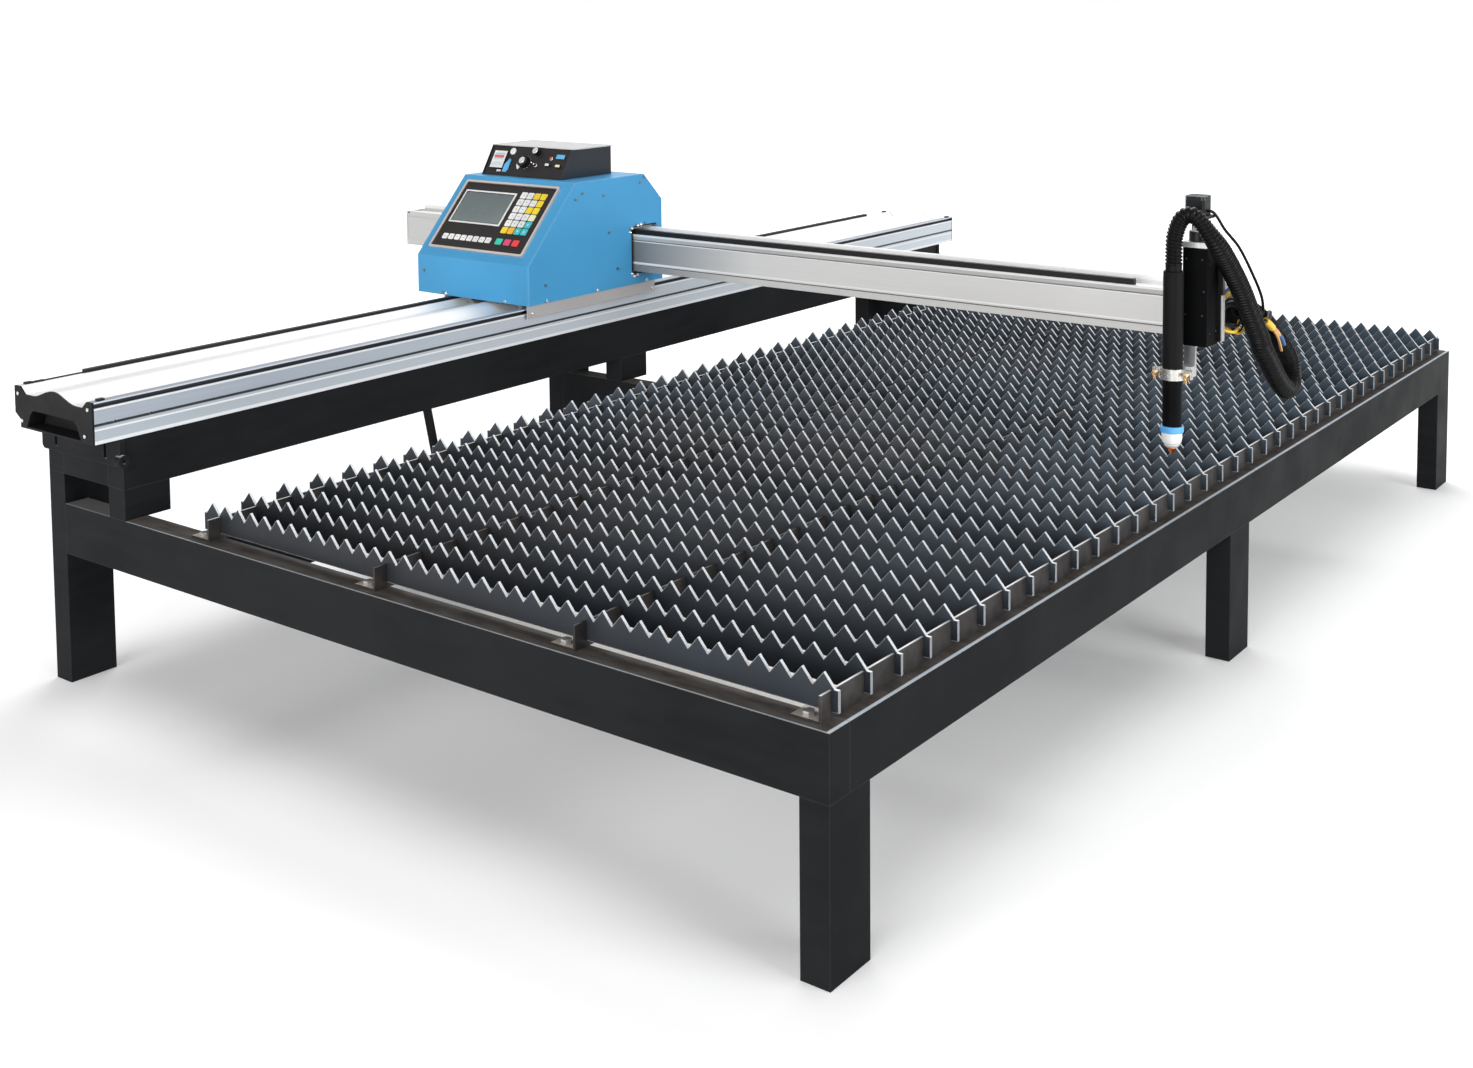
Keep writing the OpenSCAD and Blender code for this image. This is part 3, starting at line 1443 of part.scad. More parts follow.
// The hose's least gap to itself, over points at least a third of its route apart
hose_points = smooth(hose_route, 4);
hose_apart = floor(len(hose_points) / 3);
hose_self_gap = min([for (i = [0:len(hose_points) - 1], j = [0:len(hose_points) - 1])
    if (j - i >= hose_apart) norm(hose_points[i] - hose_points[j])]) - 2 * hose_wide_r;
echo(hose_self_gap = hose_self_gap);

// The thin cable that runs from the lifter's motor towards the gland
module motor_cable() {
    start = [screw_x + lift_motor_w / 2 + small_gap, screw_y, lift_motor_z + 9];
    path = smooth([for (p = cable_route) p + start], 3);
    color("#161616") swept_tube(path, [for (p = path) cable_r], 8);
}

// Puts the table's own coordinates over the middle of the footprint
module placed() { translate([-origin_x, -origin_y, 0]) children(); }

placed() front_beam();
placed() middle_beam();
placed() rear_beam();
placed() right_beam();
placed() bed_beam();
placed() bed_joists();
placed() right_legs();
placed() left_legs();
placed() support_posts();
placed() support_cross_tubes();
placed() support_beam_left();
placed() support_beam_right();
placed() support_prop();
placed() rail_brackets();
placed() rail_extrusion();
placed() rail_end_caps();
placed() rail_rack();
placed() rail_screws();
placed() slats();
placed() combs();
placed() comb_bolts();
placed() carriage_plate();
placed() carriage_skirts();
placed() housing_shell();
placed() housing_side_right();
placed() housing_side_left();
placed() housing_screws();
placed() panel_bezel();
placed() panel_face();
placed() screen();
placed() keypad();
placed() height_box();
placed() height_lid();
placed() height_face();
placed() height_knob();
placed() height_dial();
placed() rail_motor();
placed() rail_pinion();
placed() beam_motor();
placed() beam_pinion();
placed() axle_front();
placed() axle_rear();
placed() beam_guides();
placed() roller_left();
placed() roller_right();
placed() gantry_beam();
placed() beam_rack();
placed() beam_end_plates();
placed() lifter_housing();
placed() lifter_frame();
placed() lifter_motor();
placed() lift_screw();
placed() lift_arm();
placed() torch_clamp();
placed() torch_body();
placed() torch_collar();
placed() torch_cup();
placed() torch_nozzle();
placed() torch_hose();
placed() motor_cable();
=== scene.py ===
"""The looks of the cnc plasma table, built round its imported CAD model."""

import math

import bmesh
import bpy
from mathutils import Matrix, Vector


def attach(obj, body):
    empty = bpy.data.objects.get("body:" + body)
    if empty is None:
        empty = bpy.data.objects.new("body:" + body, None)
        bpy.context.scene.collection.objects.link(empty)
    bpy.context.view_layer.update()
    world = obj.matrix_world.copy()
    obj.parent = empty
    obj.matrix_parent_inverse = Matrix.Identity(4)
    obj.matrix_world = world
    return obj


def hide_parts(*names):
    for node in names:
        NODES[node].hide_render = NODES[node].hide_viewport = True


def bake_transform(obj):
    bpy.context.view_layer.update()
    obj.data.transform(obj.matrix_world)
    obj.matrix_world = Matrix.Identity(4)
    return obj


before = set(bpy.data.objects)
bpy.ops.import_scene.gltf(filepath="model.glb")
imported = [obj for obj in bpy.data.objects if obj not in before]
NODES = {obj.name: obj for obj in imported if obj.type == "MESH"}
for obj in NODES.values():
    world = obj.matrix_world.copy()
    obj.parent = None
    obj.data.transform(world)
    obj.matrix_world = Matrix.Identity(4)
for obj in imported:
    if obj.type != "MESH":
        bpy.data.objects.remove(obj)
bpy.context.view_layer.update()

# The world's light, and its level in reflections
WORLD_LEVEL, GLOSS_LEVEL = 0.22, 0.75
# The level of the painted pool of warm light on the floor under the bed
WARM_LEVEL = 0.42

# The camera: the picture's size, the focal length and the optical centre's row in pixels, the angles in degrees,
# the place in millimetres
PICTURE_WIDTH, PICTURE_HEIGHT = 1473.0, 1068.0
FOCAL_LENGTH, CENTRE_ROW = 1739.5, 121.2
CAMERA_AZIMUTH, CAMERA_ELEVATION, CAMERA_ROLL = 37.039, 4.341, 0.475
CAMERA_PLACE = (3113.8, -1869.3, 1352.7)
SENSOR_WIDTH = 36.0

# The drawing's own coordinates are the table's: millimetres from its front left corner on the floor
ORIGIN = Vector((640.0, 1515.0, 0.0))


def at(x, y, z):
    """A point of the table, in millimetres, as metres in the row frame."""
    return (Vector((x, y, z)) - ORIGIN) / 1000.0


# ---------------------------------------------------------------- camera, light and floor
def make_camera():
    azimuth, elevation, roll = (math.radians(a) for a in (CAMERA_AZIMUTH, CAMERA_ELEVATION, CAMERA_ROLL))
    back = Vector((
        math.sin(azimuth) * math.cos(elevation),
        -math.cos(azimuth) * math.cos(elevation),
        math.sin(elevation),
    ))
    right = (-back).cross(Vector((0, 0, 1))).normalized()
    down = (-back).cross(right).normalized()
    across = right * math.cos(roll) + down * math.sin(roll)
    up = right * math.sin(roll) - down * math.cos(roll)
    data = bpy.data.cameras.new("camera")
    data.sensor_fit = "HORIZONTAL"
    data.sensor_width = SENSOR_WIDTH
    data.lens = SENSOR_WIDTH * FOCAL_LENGTH / PICTURE_WIDTH
    data.shift_y = -(PICTURE_HEIGHT / 2 - CENTRE_ROW) / PICTURE_WIDTH
    data.clip_start, data.clip_end = 0.05, 100.0
    camera = bpy.data.objects.new("camera", data)
    bpy.context.scene.collection.objects.link(camera)
    turn = Matrix((across, up, back)).transposed().to_4x4()
    camera.matrix_world = Matrix.Translation(at(*CAMERA_PLACE)) @ turn
    bpy.context.scene.camera = camera


def area_light(name, place, target, size, power, colour=(1, 1, 1)):
    data = bpy.data.lights.new(name, "AREA")
    data.shape = "RECTANGLE"
    data.size, data.size_y = size
    data.energy = power
    data.color = colour
    lamp = bpy.data.objects.new(name, data)
    lamp.location = place
    lamp.rotation_mode = "QUATERNION"
    lamp.rotation_quaternion = (Vector(target) - Vector(place)).to_track_quat("-Z", "Y")
    bpy.context.scene.collection.objects.link(lamp)


def math_node(tree, kind, a, b=0.0):
    node = tree.nodes.new("ShaderNodeMath")
    node.operation = kind
    for value, socket in ((a, node.inputs[0]), (b, node.inputs[1])):
        if isinstance(value, (int, float)):
            socket.default_value = value
        else:
            tree.links.new(value, socket)
    return node.outputs[0]


def seen_directly(tree):
    """Two shares: 1 for rays from the camera or through a clear piece, and 1 for rays of a reflection."""
    path = tree.nodes.new("ShaderNodeLightPath")
    straight = math_node(tree, "MAXIMUM", path.outputs["Is Camera Ray"], path.outputs["Is Transmission Ray"])
    return straight, path.outputs["Is Glossy Ray"]


def make_world():
    world = bpy.data.worlds.new("studio")
    world.use_nodes = True
    tree = world.node_tree
    tree.nodes.clear()
    out = tree.nodes.new("ShaderNodeOutputWorld")
    light = tree.nodes.new("ShaderNodeBackground")
    light.inputs["Color"].default_value = (1.0, 1.0, 1.0, 1.0)
    straight, gloss = seen_directly(tree)
    strength = math_node(tree, "MAXIMUM", math_node(tree, "MULTIPLY", gloss, GLOSS_LEVEL), WORLD_LEVEL)
    tree.links.new(math_node(tree, "MAXIMUM", strength, straight), light.inputs["Strength"])
    tree.links.new(light.outputs[0], out.inputs["Surface"])
    bpy.context.scene.world = world


def make_floor():
    """A white floor that keeps the table's shadow and fades into the white backdrop."""
    mesh = bpy.data.meshes.new("floor")
    reach = 40.0
    mesh.from_pydata([(-reach, -reach, 0), (reach, -reach, 0), (reach, reach, 0), (-reach, reach, 0)],
                     [], [(0, 1, 2, 3)])
    floor = bpy.data.objects.new("floor", mesh)
    floor.location.z = -0.0006
    bpy.context.scene.collection.objects.link(floor)
    material = bpy.data.materials.new("floor_white")
    material.use_nodes = True
    tree = material.node_tree
    tree.nodes.clear()
    out = tree.nodes.new("ShaderNodeOutputMaterial")
    plain = tree.nodes.new("ShaderNodeBsdfDiffuse")
    plain.inputs["Color"].default_value = (0.86, 0.86, 0.86, 1.0)
    glow = tree.nodes.new("ShaderNodeEmission")
    glow.inputs["Color"].default_value = (1.0, 1.0, 1.0, 1.0)
    place = tree.nodes.new("ShaderNodeTexCoord")
    split = tree.nodes.new("ShaderNodeSeparateXYZ")
    tree.links.new(place.outputs["Object"], split.inputs[0])

    def way_out(middle, half):
        """The way out of a rectangle round a middle."""
        ways = []
        for axis, m, h in zip("XY", middle, half):
            off = math_node(tree, "ABSOLUTE", math_node(tree, "SUBTRACT", split.outputs[axis], m))
            past = math_node(tree, "MAXIMUM", math_node(tree, "SUBTRACT", off, h), 0.0)
            ways.append(math_node(tree, "POWER", past, 2.0))
        return math_node(tree, "SQRT", math_node(tree, "ADD", *ways))

    def rise(way, low, high, amount):
        node = tree.nodes.new("ShaderNodeMapRange")
        node.interpolation_type = "SMOOTHSTEP"
        for socket, value in (("From Min", low), ("From Max", high), ("To Max", amount)):
            node.inputs[socket].default_value = value
        tree.links.new(way, node.inputs["Value"])
        return node.outputs[0]

    # The floor grows lighter away from the table's outline
    way = way_out((0.285, -0.015), (0.77, 1.37))
    bright = math_node(tree, "ADD", rise(way, 0.0, 0.28, 0.38), rise(way, 1.0, 5.0, 0.62))
    straight, gloss = seen_directly(tree)
    share = math_node(tree, "MAXIMUM", straight, gloss)
    tree.links.new(math_node(tree, "MULTIPLY", bright, share), glow.inputs["Strength"])
    # A painted pool of warm light in the middle stands for the light that falls between the slats
    warm = tree.nodes.new("ShaderNodeEmission")
    warm.inputs["Color"].default_value = (1.0, 0.90, 0.76, 1.0)
    fall = rise(way_out((0.31, 0.335), (0.45, 1.0)), 0.0, 0.16, WARM_LEVEL)
    middle = math_node(tree, "SUBTRACT", WARM_LEVEL, fall)
    tree.links.new(math_node(tree, "MULTIPLY", middle, share), warm.inputs["Strength"])
    lit = tree.nodes.new("ShaderNodeAddShader")
    tree.links.new(glow.outputs[0], lit.inputs[0])
    tree.links.new(warm.outputs[0], lit.inputs[1])
    both = tree.nodes.new("ShaderNodeAddShader")
    tree.links.new(plain.outputs[0], both.inputs[0])
    tree.links.new(lit.outputs[0], both.inputs[1])
    tree.links.new(both.outputs[0], out.inputs["Surface"])
    floor.data.materials.append(material)


# ---------------------------------------------------------------- materials
class Surface:
    """A procedural material: a principled shader with the nodes that vary it."""

    def __init__(self, name, colour, rough, metal=0.0, specular=0.5):
        self.material = bpy.data.materials.new(name)
        self.material.use_nodes = True
        self.tree = self.material.node_tree
        self.shader = self.tree.nodes["Principled BSDF"]
        self.shader.inputs["Metallic"].default_value = metal
        self.shader.inputs["Specular IOR Level"].default_value = specular
        self.colour = (*colour, 1.0)
        self.rough = rough
        self.bumps = []
        self.place = self.tree.nodes.new("ShaderNodeTexCoord").outputs["Object"]

    def math(self, kind, a, b=0.0):
        return math_node(self.tree, kind, a, b)

    def feed(self, value, socket):
        if isinstance(value, tuple):
            socket.default_value = value
        else:
            self.tree.links.new(value, socket)

    def stretched(self, scale):
        node = self.tree.nodes.new("ShaderNodeMapping")
        node.inputs["Scale"].default_value = scale
        self.tree.links.new(self.place, node.inputs["Vector"])
        return node.outputs[0]

    def noise(self, scale, detail=4.0, stretch=(1, 1, 1), low=0.35, high=0.65):
        """Noise over the surface, spread to run from 0 to 1."""
        node = self.tree.nodes.new("ShaderNodeTexNoise")
        node.inputs["Scale"].default_value = scale
        node.inputs["Detail"].default_value = detail
        self.tree.links.new(self.stretched(stretch), node.inputs["Vector"])
        spread = self.tree.nodes.new("ShaderNodeMapRange")
        spread.inputs["From Min"].default_value = low
        spread.inputs["From Max"].default_value = high
        self.tree.links.new(node.outputs["Fac"], spread.inputs["Value"])
        return spread.outputs[0]

    def edges(self, radius=0.004, low=0.03, high=0.25):
        """1 along the solid's own sharp edges, 0 on its faces."""
        bevel = self.tree.nodes.new("ShaderNodeBevel")
        bevel.samples = 4
        bevel.inputs["Radius"].default_value = radius
        flat = self.tree.nodes.new("ShaderNodeNewGeometry")
        dot = self.tree.nodes.new("ShaderNodeVectorMath")
        dot.operation = "DOT_PRODUCT"
        self.tree.links.new(bevel.outputs[0], dot.inputs[0])
        self.tree.links.new(flat.outputs["True Normal"], dot.inputs[1])
        away = self.rest(dot.outputs["Value"])
        spread = self.tree.nodes.new("ShaderNodeMapRange")
        spread.inputs["From Min"].default_value = low
        spread.inputs["From Max"].default_value = high
        self.tree.links.new(away, spread.inputs["Value"])
        return spread.outputs[0]

    def along(self, axis, low, high):
        """0 up to the place low on one of the table's axes, 1 from the place high on, in millimetres."""
        split = self.tree.nodes.new("ShaderNodeSeparateXYZ")
        self.tree.links.new(self.place, split.inputs[0])
        spread = self.tree.nodes.new("ShaderNodeMapRange")
        shift = ORIGIN["XYZ".index(axis)]
        spread.inputs["From Min"].default_value = (low - shift) / 1000.0
        spread.inputs["From Max"].default_value = (high - shift) / 1000.0
        self.tree.links.new(split.outputs[axis], spread.inputs["Value"])
        return spread.outputs[0]

    def band(self, axis, low, high, soft=0.5):
        """1 between two places on one of the table's axes."""
        rise = self.along(axis, low - soft, low + soft)
        fall = self.along(axis, high - soft, high + soft)
        return self.math("SUBTRACT", rise, fall)

    def both(self, a, b):
        return self.math("MULTIPLY", a, b)

    def rest(self, share):
        """1 where the share is 0, and 0 where it is 1."""
        return self.math("SUBTRACT", 1.0, share)

    def before(self, axis, low, high):
        """1 up to the place low on one of the table's axes, 0 from the place high on."""
        return self.rest(self.along(axis, low, high))

    def facing(self, axis, low=0.5, high=0.9):
        """1 on faces whose normal points along one axis of the object, such as '+Z'."""
        node = self.tree.nodes.new("ShaderNodeTexCoord")
        split = self.tree.nodes.new("ShaderNodeSeparateXYZ")
        self.tree.links.new(node.outputs["Normal"], split.inputs[0])
        value = split.outputs[axis[1]]
        if axis[0] == "-":
            value = self.math("MULTIPLY", value, -1.0)
        spread = self.tree.nodes.new("ShaderNodeMapRange")
        spread.inputs["From Min"].default_value = low
        spread.inputs["From Max"].default_value = high
        self.tree.links.new(value, spread.inputs["Value"])
        return spread.outputs[0]

    def tint(self, share, colour, amount=1.0):
        """Mixes another colour in where share is 1."""
        mix = self.tree.nodes.new("ShaderNodeMix")
        mix.data_type = "RGBA"
        self.tree.links.new(self.math("MULTIPLY", share, amount), mix.inputs["Factor"])
        self.feed(self.colour, mix.inputs["A"])
        mix.inputs["B"].default_value = (*colour, 1.0)
        self.colour = mix.outputs["Result"]
        return self

    def roughen(self, share, amount):
        self.rough = self.math("ADD", self.math("MULTIPLY", share, amount), self.rough)
        return self

    def bump(self, height, distance, strength=1.0):
        self.bumps.append((height, distance, strength))
        return self

    def done(self, round_edges=0.0):
        tree, shader = self.tree, self.shader
        self.feed(self.colour, shader.inputs["Base Color"])
        if isinstance(self.rough, (int, float)):
            shader.inputs["Roughness"].default_value = self.rough
        else:
            tree.links.new(self.rough, shader.inputs["Roughness"])
        normal = None
        if round_edges:
            bevel = tree.nodes.new("ShaderNodeBevel")
            bevel.samples = 4
            bevel.inputs["Radius"].default_value = round_edges
            normal = bevel.outputs[0]
        for height, distance, strength in self.bumps:
            node = tree.nodes.new("ShaderNodeBump")
            node.inputs["Distance"].default_value = distance
            node.inputs["Strength"].default_value = strength
            tree.links.new(height, node.inputs["Height"])
            if normal is not None:
                tree.links.new(normal, node.inputs["Normal"])
            normal = node.outputs[0]
        if normal is not None:
            tree.links.new(normal, shader.inputs["Normal"])
        return self.material


def painted(name, colour, rough=0.38, grain=0.00004, vary=0.25, edge=None, edge_size=0.003, specular=0.5):
    """Powder coat: fine orange peel, faint clouds of colour, painted highlights along the edges."""
    s = Surface(name, colour, rough, specular=specular)
    s.tint(s.noise(3.0, 5.0), tuple(min(1, c * (1 + vary)) for c in colour))
    s.roughen(s.noise(11.0, 3.0), 0.08)
    # Painted highlight: the edge colour along the edges
    if edge:
        s.tint(s.edges(edge_size), edge, 0.75)
    s.bump(s.noise(900.0, 2.0), grain, 0.6)
    return s.done(round_edges=0.0015)


def brushed(name, colour, rough=0.3, along="Y", vary=0.12, grain=0.00002, metal=1.0, edge=None):
    """Metal with fine drawn lines that run along one axis."""
    s = Surface(name, colour, rough, metal)
    stretch = {"X": (0.02, 1, 1), "Y": (1, 0.02, 1), "Z": (1, 1, 0.02)}[along]
    lines = s.noise(700.0, 3.0, stretch)
    s.tint(lines, tuple(c * (1 - vary) for c in colour))
    s.tint(s.noise(5.0, 3.0), tuple(min(1, c * 1.1) for c in colour), 0.6)
    s.roughen(lines, 0.12)
    # Painted highlight: the edge colour along the edges, where one is given
    if edge:
        s.tint(s.edges(0.0015), edge, 0.8)
    s.bump(lines, grain, 0.5)
    return s.done(round_edges=0.0006)


def moulded(name, colour, rough=0.45, grain=0.00005, grain_scale=1400.0, coat=0.0, specular=0.5):
    """Plastic with a fine moulded grain."""
    s = Surface(name, colour, rough, specular=specular)
    s.tint(s.noise(9.0, 3.0), tuple(min(1, c * 1.25 + 0.001) for c in colour))
    s.roughen(s.noise(60.0, 2.0), 0.07)
    s.bump(s.noise(grain_scale, 2.0), grain, 0.5)
    s.shader.inputs["Coat Weight"].default_value = coat
    return s.done(round_edges=0.0006)


def steel_of_slats():
    """Cold rolled steel: blue-grey with brown clouds, bluer to the right and the rear, darker towards the front,
    lighter on faces turned to +X; painted light on the teeth and on faces turned up, painted shade low down behind the
    front slat, and painted highlights along the edges.
    """
    s = Surface("slat_steel", (0.046, 0.062, 0.081), 0.42, 0.35, 0.3)
    s.tint(s.noise(1.3, 4.0), (0.066, 0.061, 0.061), 0.9)
    s.tint(s.noise(5.0, 4.0, (1, 0.4, 1)), (0.095, 0.132, 0.172), 0.55)
    s.tint(s.noise(22.0, 5.0, (1, 0.3, 0.5)), (0.034, 0.038, 0.046), 0.40)
    s.tint(s.both(s.noise(2.2, 4.0), s.before("X", 1250, 1650)), (0.085, 0.074, 0.070), 0.6)
    s.tint(s.along("X", 1350, 1800), (0.062, 0.092, 0.125), 0.45)
    # Painted light: lighter on the teeth, up to their tips
    s.tint(s.along("Z", 398, 424), (0.115, 0.150, 0.185), 0.5)
    # Painted shade: darker low down on every slat behind the front one
    s.tint(s.both(s.before("Z", 370, 402), s.along("Y", 90, 130)), (0.024, 0.027, 0.033), 0.75)
    s.tint(s.before("Y", 100, 1100), (0.020, 0.023, 0.028), 0.78)
    s.tint(s.along("Y", 1300, 2700), (0.052, 0.080, 0.108), 0.5)
    # Painted highlights along the edges and on the faces turned up
    s.tint(s.edges(0.0024, 0.02, 0.2), (0.60, 0.64, 0.68), 0.85)
    s.tint(s.facing("+Z", 0.25, 0.45), (0.70, 0.72, 0.74))
    s.tint(s.facing("+X", 0.8, 0.95), (0.40, 0.42, 0.45), 0.6)
    s.roughen(s.noise(20.0, 4.0), 0.16)
    s.bump(s.noise(240.0, 3.0, (0.3, 1, 1)), 0.00003, 0.5)
    return s.done(round_edges=0.0004)


def steel_of_frame():
    """Satin black paint with painted highlights along the edges and painted shade on the +X faces right of X 1000; the
    beams' top faces show bare brown-grey steel, lighter grey left of X 250, with painted highlights along the front
    edge and the right beam's outer edge.
    """
    s = Surface("frame_steel", (0.0098, 0.0105, 0.0118), 0.46, specular=0.055)
    s.tint(s.noise(2.5, 4.0), (0.0165, 0.0175, 0.0190))
    s.tint(s.noise(40.0, 3.0, (0.2, 0.2, 1)), (0.019, 0.020, 0.0215), 0.4)
    top = s.facing("+Z", 0.7, 0.95)
    # Painted shade on the +X faces right of X 1000
    s.tint(s.both(s.facing("+X", 0.7, 0.95), s.along("X", 1000, 1300)), (0.0045, 0.0050, 0.0058), 0.8)
    s.tint(top, (0.070, 0.062, 0.057), 0.9)
    s.tint(s.both(top, s.noise(60.0, 4.0, (0.3, 1, 1))), (0.130, 0.118, 0.110), 0.7)
    s.tint(s.both(top, s.before("X", 245, 255)), (0.26, 0.26, 0.26), 0.7)
    # Painted highlights: along the right beam's outer top edge, the tops' front edge and their edges, then along all
    # edges
    s.tint(s.both(top, s.along("X", 1842.5, 1844)), (0.66, 0.73, 0.80), 0.95)
    s.tint(s.both(top, s.before("Y", 3, 4)), (0.50, 0.54, 0.58), 0.8)
    s.tint(s.both(top, s.edges(0.003, 0.02, 0.15)), (0.40, 0.43, 0.46), 0.6)
    s.tint(s.edges(0.003, 0.03, 0.3), (0.07, 0.075, 0.082), 0.5)
    s.roughen(s.noise(8.0, 4.0), 0.10)
    s.bump(s.noise(800.0, 2.0), 0.00005, 0.5)
    return s.done(round_edges=0.002)


def steel_of_combs():
    """Raw dark steel angle with brown mill scale; only the outer two combs have bright tops, a painted highlight, and
    the feet's tops in front of the slats carry painted light.
    """
    s = Surface("comb_steel", (0.030, 0.026, 0.025), 0.45, 0.3, 0.3)
    s.tint(s.noise(9.0, 5.0), (0.014, 0.013, 0.013), 0.85)
    s.tint(s.noise(30.0, 5.0), (0.085, 0.078, 0.074), 0.35)
    outer = s.rest(s.band("X", 500, 1600, 5))
    # Painted highlights on the outer combs' tops and edges
    s.tint(s.both(s.both(s.facing("+Z", 0.6, 0.9), outer), s.along("Z", 385, 390)), (0.70, 0.71, 0.72), 0.9)
    s.tint(s.both(outer, s.edges(0.0012, 0.03, 0.3)), (0.30, 0.30, 0.30), 0.35)
    # Painted light on the feet's tops in front of the slats
    foot = s.both(s.facing("+Z", 0.6, 0.9), s.before("Z", 368, 369))
    s.tint(s.both(foot, s.before("Y", 52, 56)), (0.52, 0.46, 0.39), 0.9)
    s.roughen(s.noise(25.0, 4.0), 0.2)
    s.bump(s.noise(120.0, 4.0), 0.00008, 0.5)
    return s.done(round_edges=0.0008)


def rail_aluminium():
    """Anodised extrusion: nearly white on top, blue-grey flanges and sides, dark middle line and groove. The white top
    and valleys and the lighter flanges and far sides are painted light, the darker sides, the line in the right
    valley, the middle line and the groove are painted shade, and the light bands along the sides are painted
    highlights.
    """
    s = Surface("rail_aluminium", (0.66, 0.71, 0.77), 0.36, 0.10)
    lines = s.noise(420.0, 3.0, (1, 0.01, 1))
    side = s.math("MAXIMUM", s.facing("+X", 0.7, 0.95), s.facing("-X", 0.7, 0.95))
    # Painted shade darkens the sides, less below the middle line; painted light lifts their far part
    s.tint(side, (0.365, 0.415, 0.475), 0.95)
    s.tint(s.both(side, s.before("Z", 552, 554)), (0.465, 0.515, 0.565), 0.95)
    s.tint(s.both(side, s.along("Y", 300, 2000)), (0.66, 0.72, 0.78), 0.85)
    # Painted light whitens the valleys, the flanges and the top faces; a painted shade line runs in the right valley
    s.tint(s.both(s.band("X", 4, 246), s.along("Z", 582, 584)), (0.92, 0.925, 0.93), 0.9)
    s.tint(s.along("Z", 596, 597), (0.70, 0.75, 0.82), 0.9)
    s.tint(s.facing("+Z", 0.05, 0.5), (0.91, 0.915, 0.92), 0.95)
    s.tint(s.both(s.facing("+Z", 0.6, 0.9), s.along("X", 236.2, 236.8)), (0.25, 0.29, 0.36), 0.95)
    s.tint(lines, (0.55, 0.60, 0.65), 0.15)
    s.tint(s.noise(1.2, 3.0, (1, 0.3, 1)), (0.82, 0.84, 0.87), 0.2)
    # Painted highlights: light bands along the sides
    for low, high in ((515, 527), (545.5, 549.0), (584.5, 588.0)):
        s.tint(s.both(side, s.band("Z", low, high, 0.4)), (0.90, 0.92, 0.94), 0.85)
    # Painted shade: the middle line, then the groove under the flange
    s.tint(s.band("Z", 553.8, 559.0, 0.3), (0.018, 0.020, 0.024), 0.97)
    edge = s.math("MAXIMUM", side, s.along("X", 240, 241))
    s.tint(s.both(edge, s.band("Z", 588.8, 597.0, 0.3)), (0.008, 0.010, 0.016), 0.99)
    s.roughen(lines, 0.10)
    s.bump(lines, 0.00002, 0.4)
    return s.done(round_edges=0.0008)


def beam_aluminium():
    """Anodised extrusion: a pale web between two light lines, a grey band above and a lip below; the light lines and
    the light top are painted light, the grooves painted shade, and a painted reflection of the housing darkens the
    beam near it.
    """
    s = Surface("beam_aluminium", (0.66, 0.655, 0.645), 0.36, 0.15)
    lines = s.noise(420.0, 3.0, (0.01, 1, 1))
    # Painted reflection of the housing: lighter away from it
    s.tint(s.along("X", 250, 900), (0.76, 0.755, 0.74), 0.9)
    s.tint(s.noise(1.0, 2.0, (1, 1, 2)), (0.52, 0.515, 0.505), 0.35)
    # Painted light on the top faces
    s.tint(s.facing("+Z", 0.2, 0.9), (0.92, 0.92, 0.92), 0.95)
    s.tint(lines, (0.50, 0.495, 0.49), 0.12)
    # Painted light on the rib above z 738
    s.tint(s.along("Z", 738, 739), (0.93, 0.93, 0.93), 0.9)
    front = s.both(s.facing("-Y", 0.7, 0.95), s.along("X", 250, 262))
    # Bands up the front face: painted highlights along the ridges, painted shade in the two grooves, a grey band above
    # and the lip below
    for low, high, colour in (
        (731, 738, (0.86, 0.86, 0.85)), (722.5, 731, (0.46, 0.46, 0.455)), (720.3, 722.5, (0.05, 0.052, 0.055)),
        (717.8, 720.3, (0.86, 0.86, 0.85)), (662.5, 665.5, (0.90, 0.90, 0.89)),
        (656.8, 659.5, (0.075, 0.062, 0.058)), (640, 656.8, (0.63, 0.625, 0.61)),
    ):
        s.tint(s.both(front, s.band("Z", low, high, 0.3)), colour, 0.92)
    # Painted reflection of the housing darkens the web and the lip near it
    near = s.before("X", 290, 640)
    reflection_bands = s.math("ADD", s.band("Z", 666, 717.5), s.band("Z", 640, 656.5))
    s.tint(s.both(front, s.both(reflection_bands, near)), (0.125, 0.135, 0.14), 0.85)
    s.roughen(lines, 0.10)
    s.bump(lines, 0.00002, 0.4)
    return s.done(round_edges=0.0008)


def end_alloy():
    """Bare alloy at the beam's left end, black on the part that reaches out behind the lifter."""
    s = Surface("end_alloy", (0.62, 0.63, 0.64), 0.35, 0.6)
    lines = s.noise(700.0, 3.0, (1, 1, 0.02))
    s.tint(lines, (0.52, 0.53, 0.54))
    s.tint(s.both(s.along("X", 1802, 1803), s.along("Y", 1481, 1483)), (0.012, 0.012, 0.013))
    s.roughen(lines, 0.12)
    s.bump(lines, 0.00002, 0.4)
    return s.done(round_edges=0.0006)


def lifter_plates():
    """Bare alloy rods and spacer; black back plate with a bare edge, and all above the cover dark."""
    s = Surface("lifter_plates", (0.72, 0.72, 0.72), 0.30, 0.5)
    lines = s.noise(700.0, 3.0, (1, 1, 0.02))
    s.tint(lines, (0.50, 0.51, 0.52))
    strip = s.both(s.along("X", 1821.6, 1822.2), s.before("Z", 738, 739))
    s.tint(s.both(s.band("Y", 1434.5, 1447.5, 0.3), s.rest(strip)), (0.0070, 0.0073, 0.0080))
    s.tint(s.along("Z", 852, 853), (0.030, 0.031, 0.034))
    s.roughen(lines, 0.12)
    s.bump(lines, 0.00002, 0.4)
    return s.done(round_edges=0.0008)


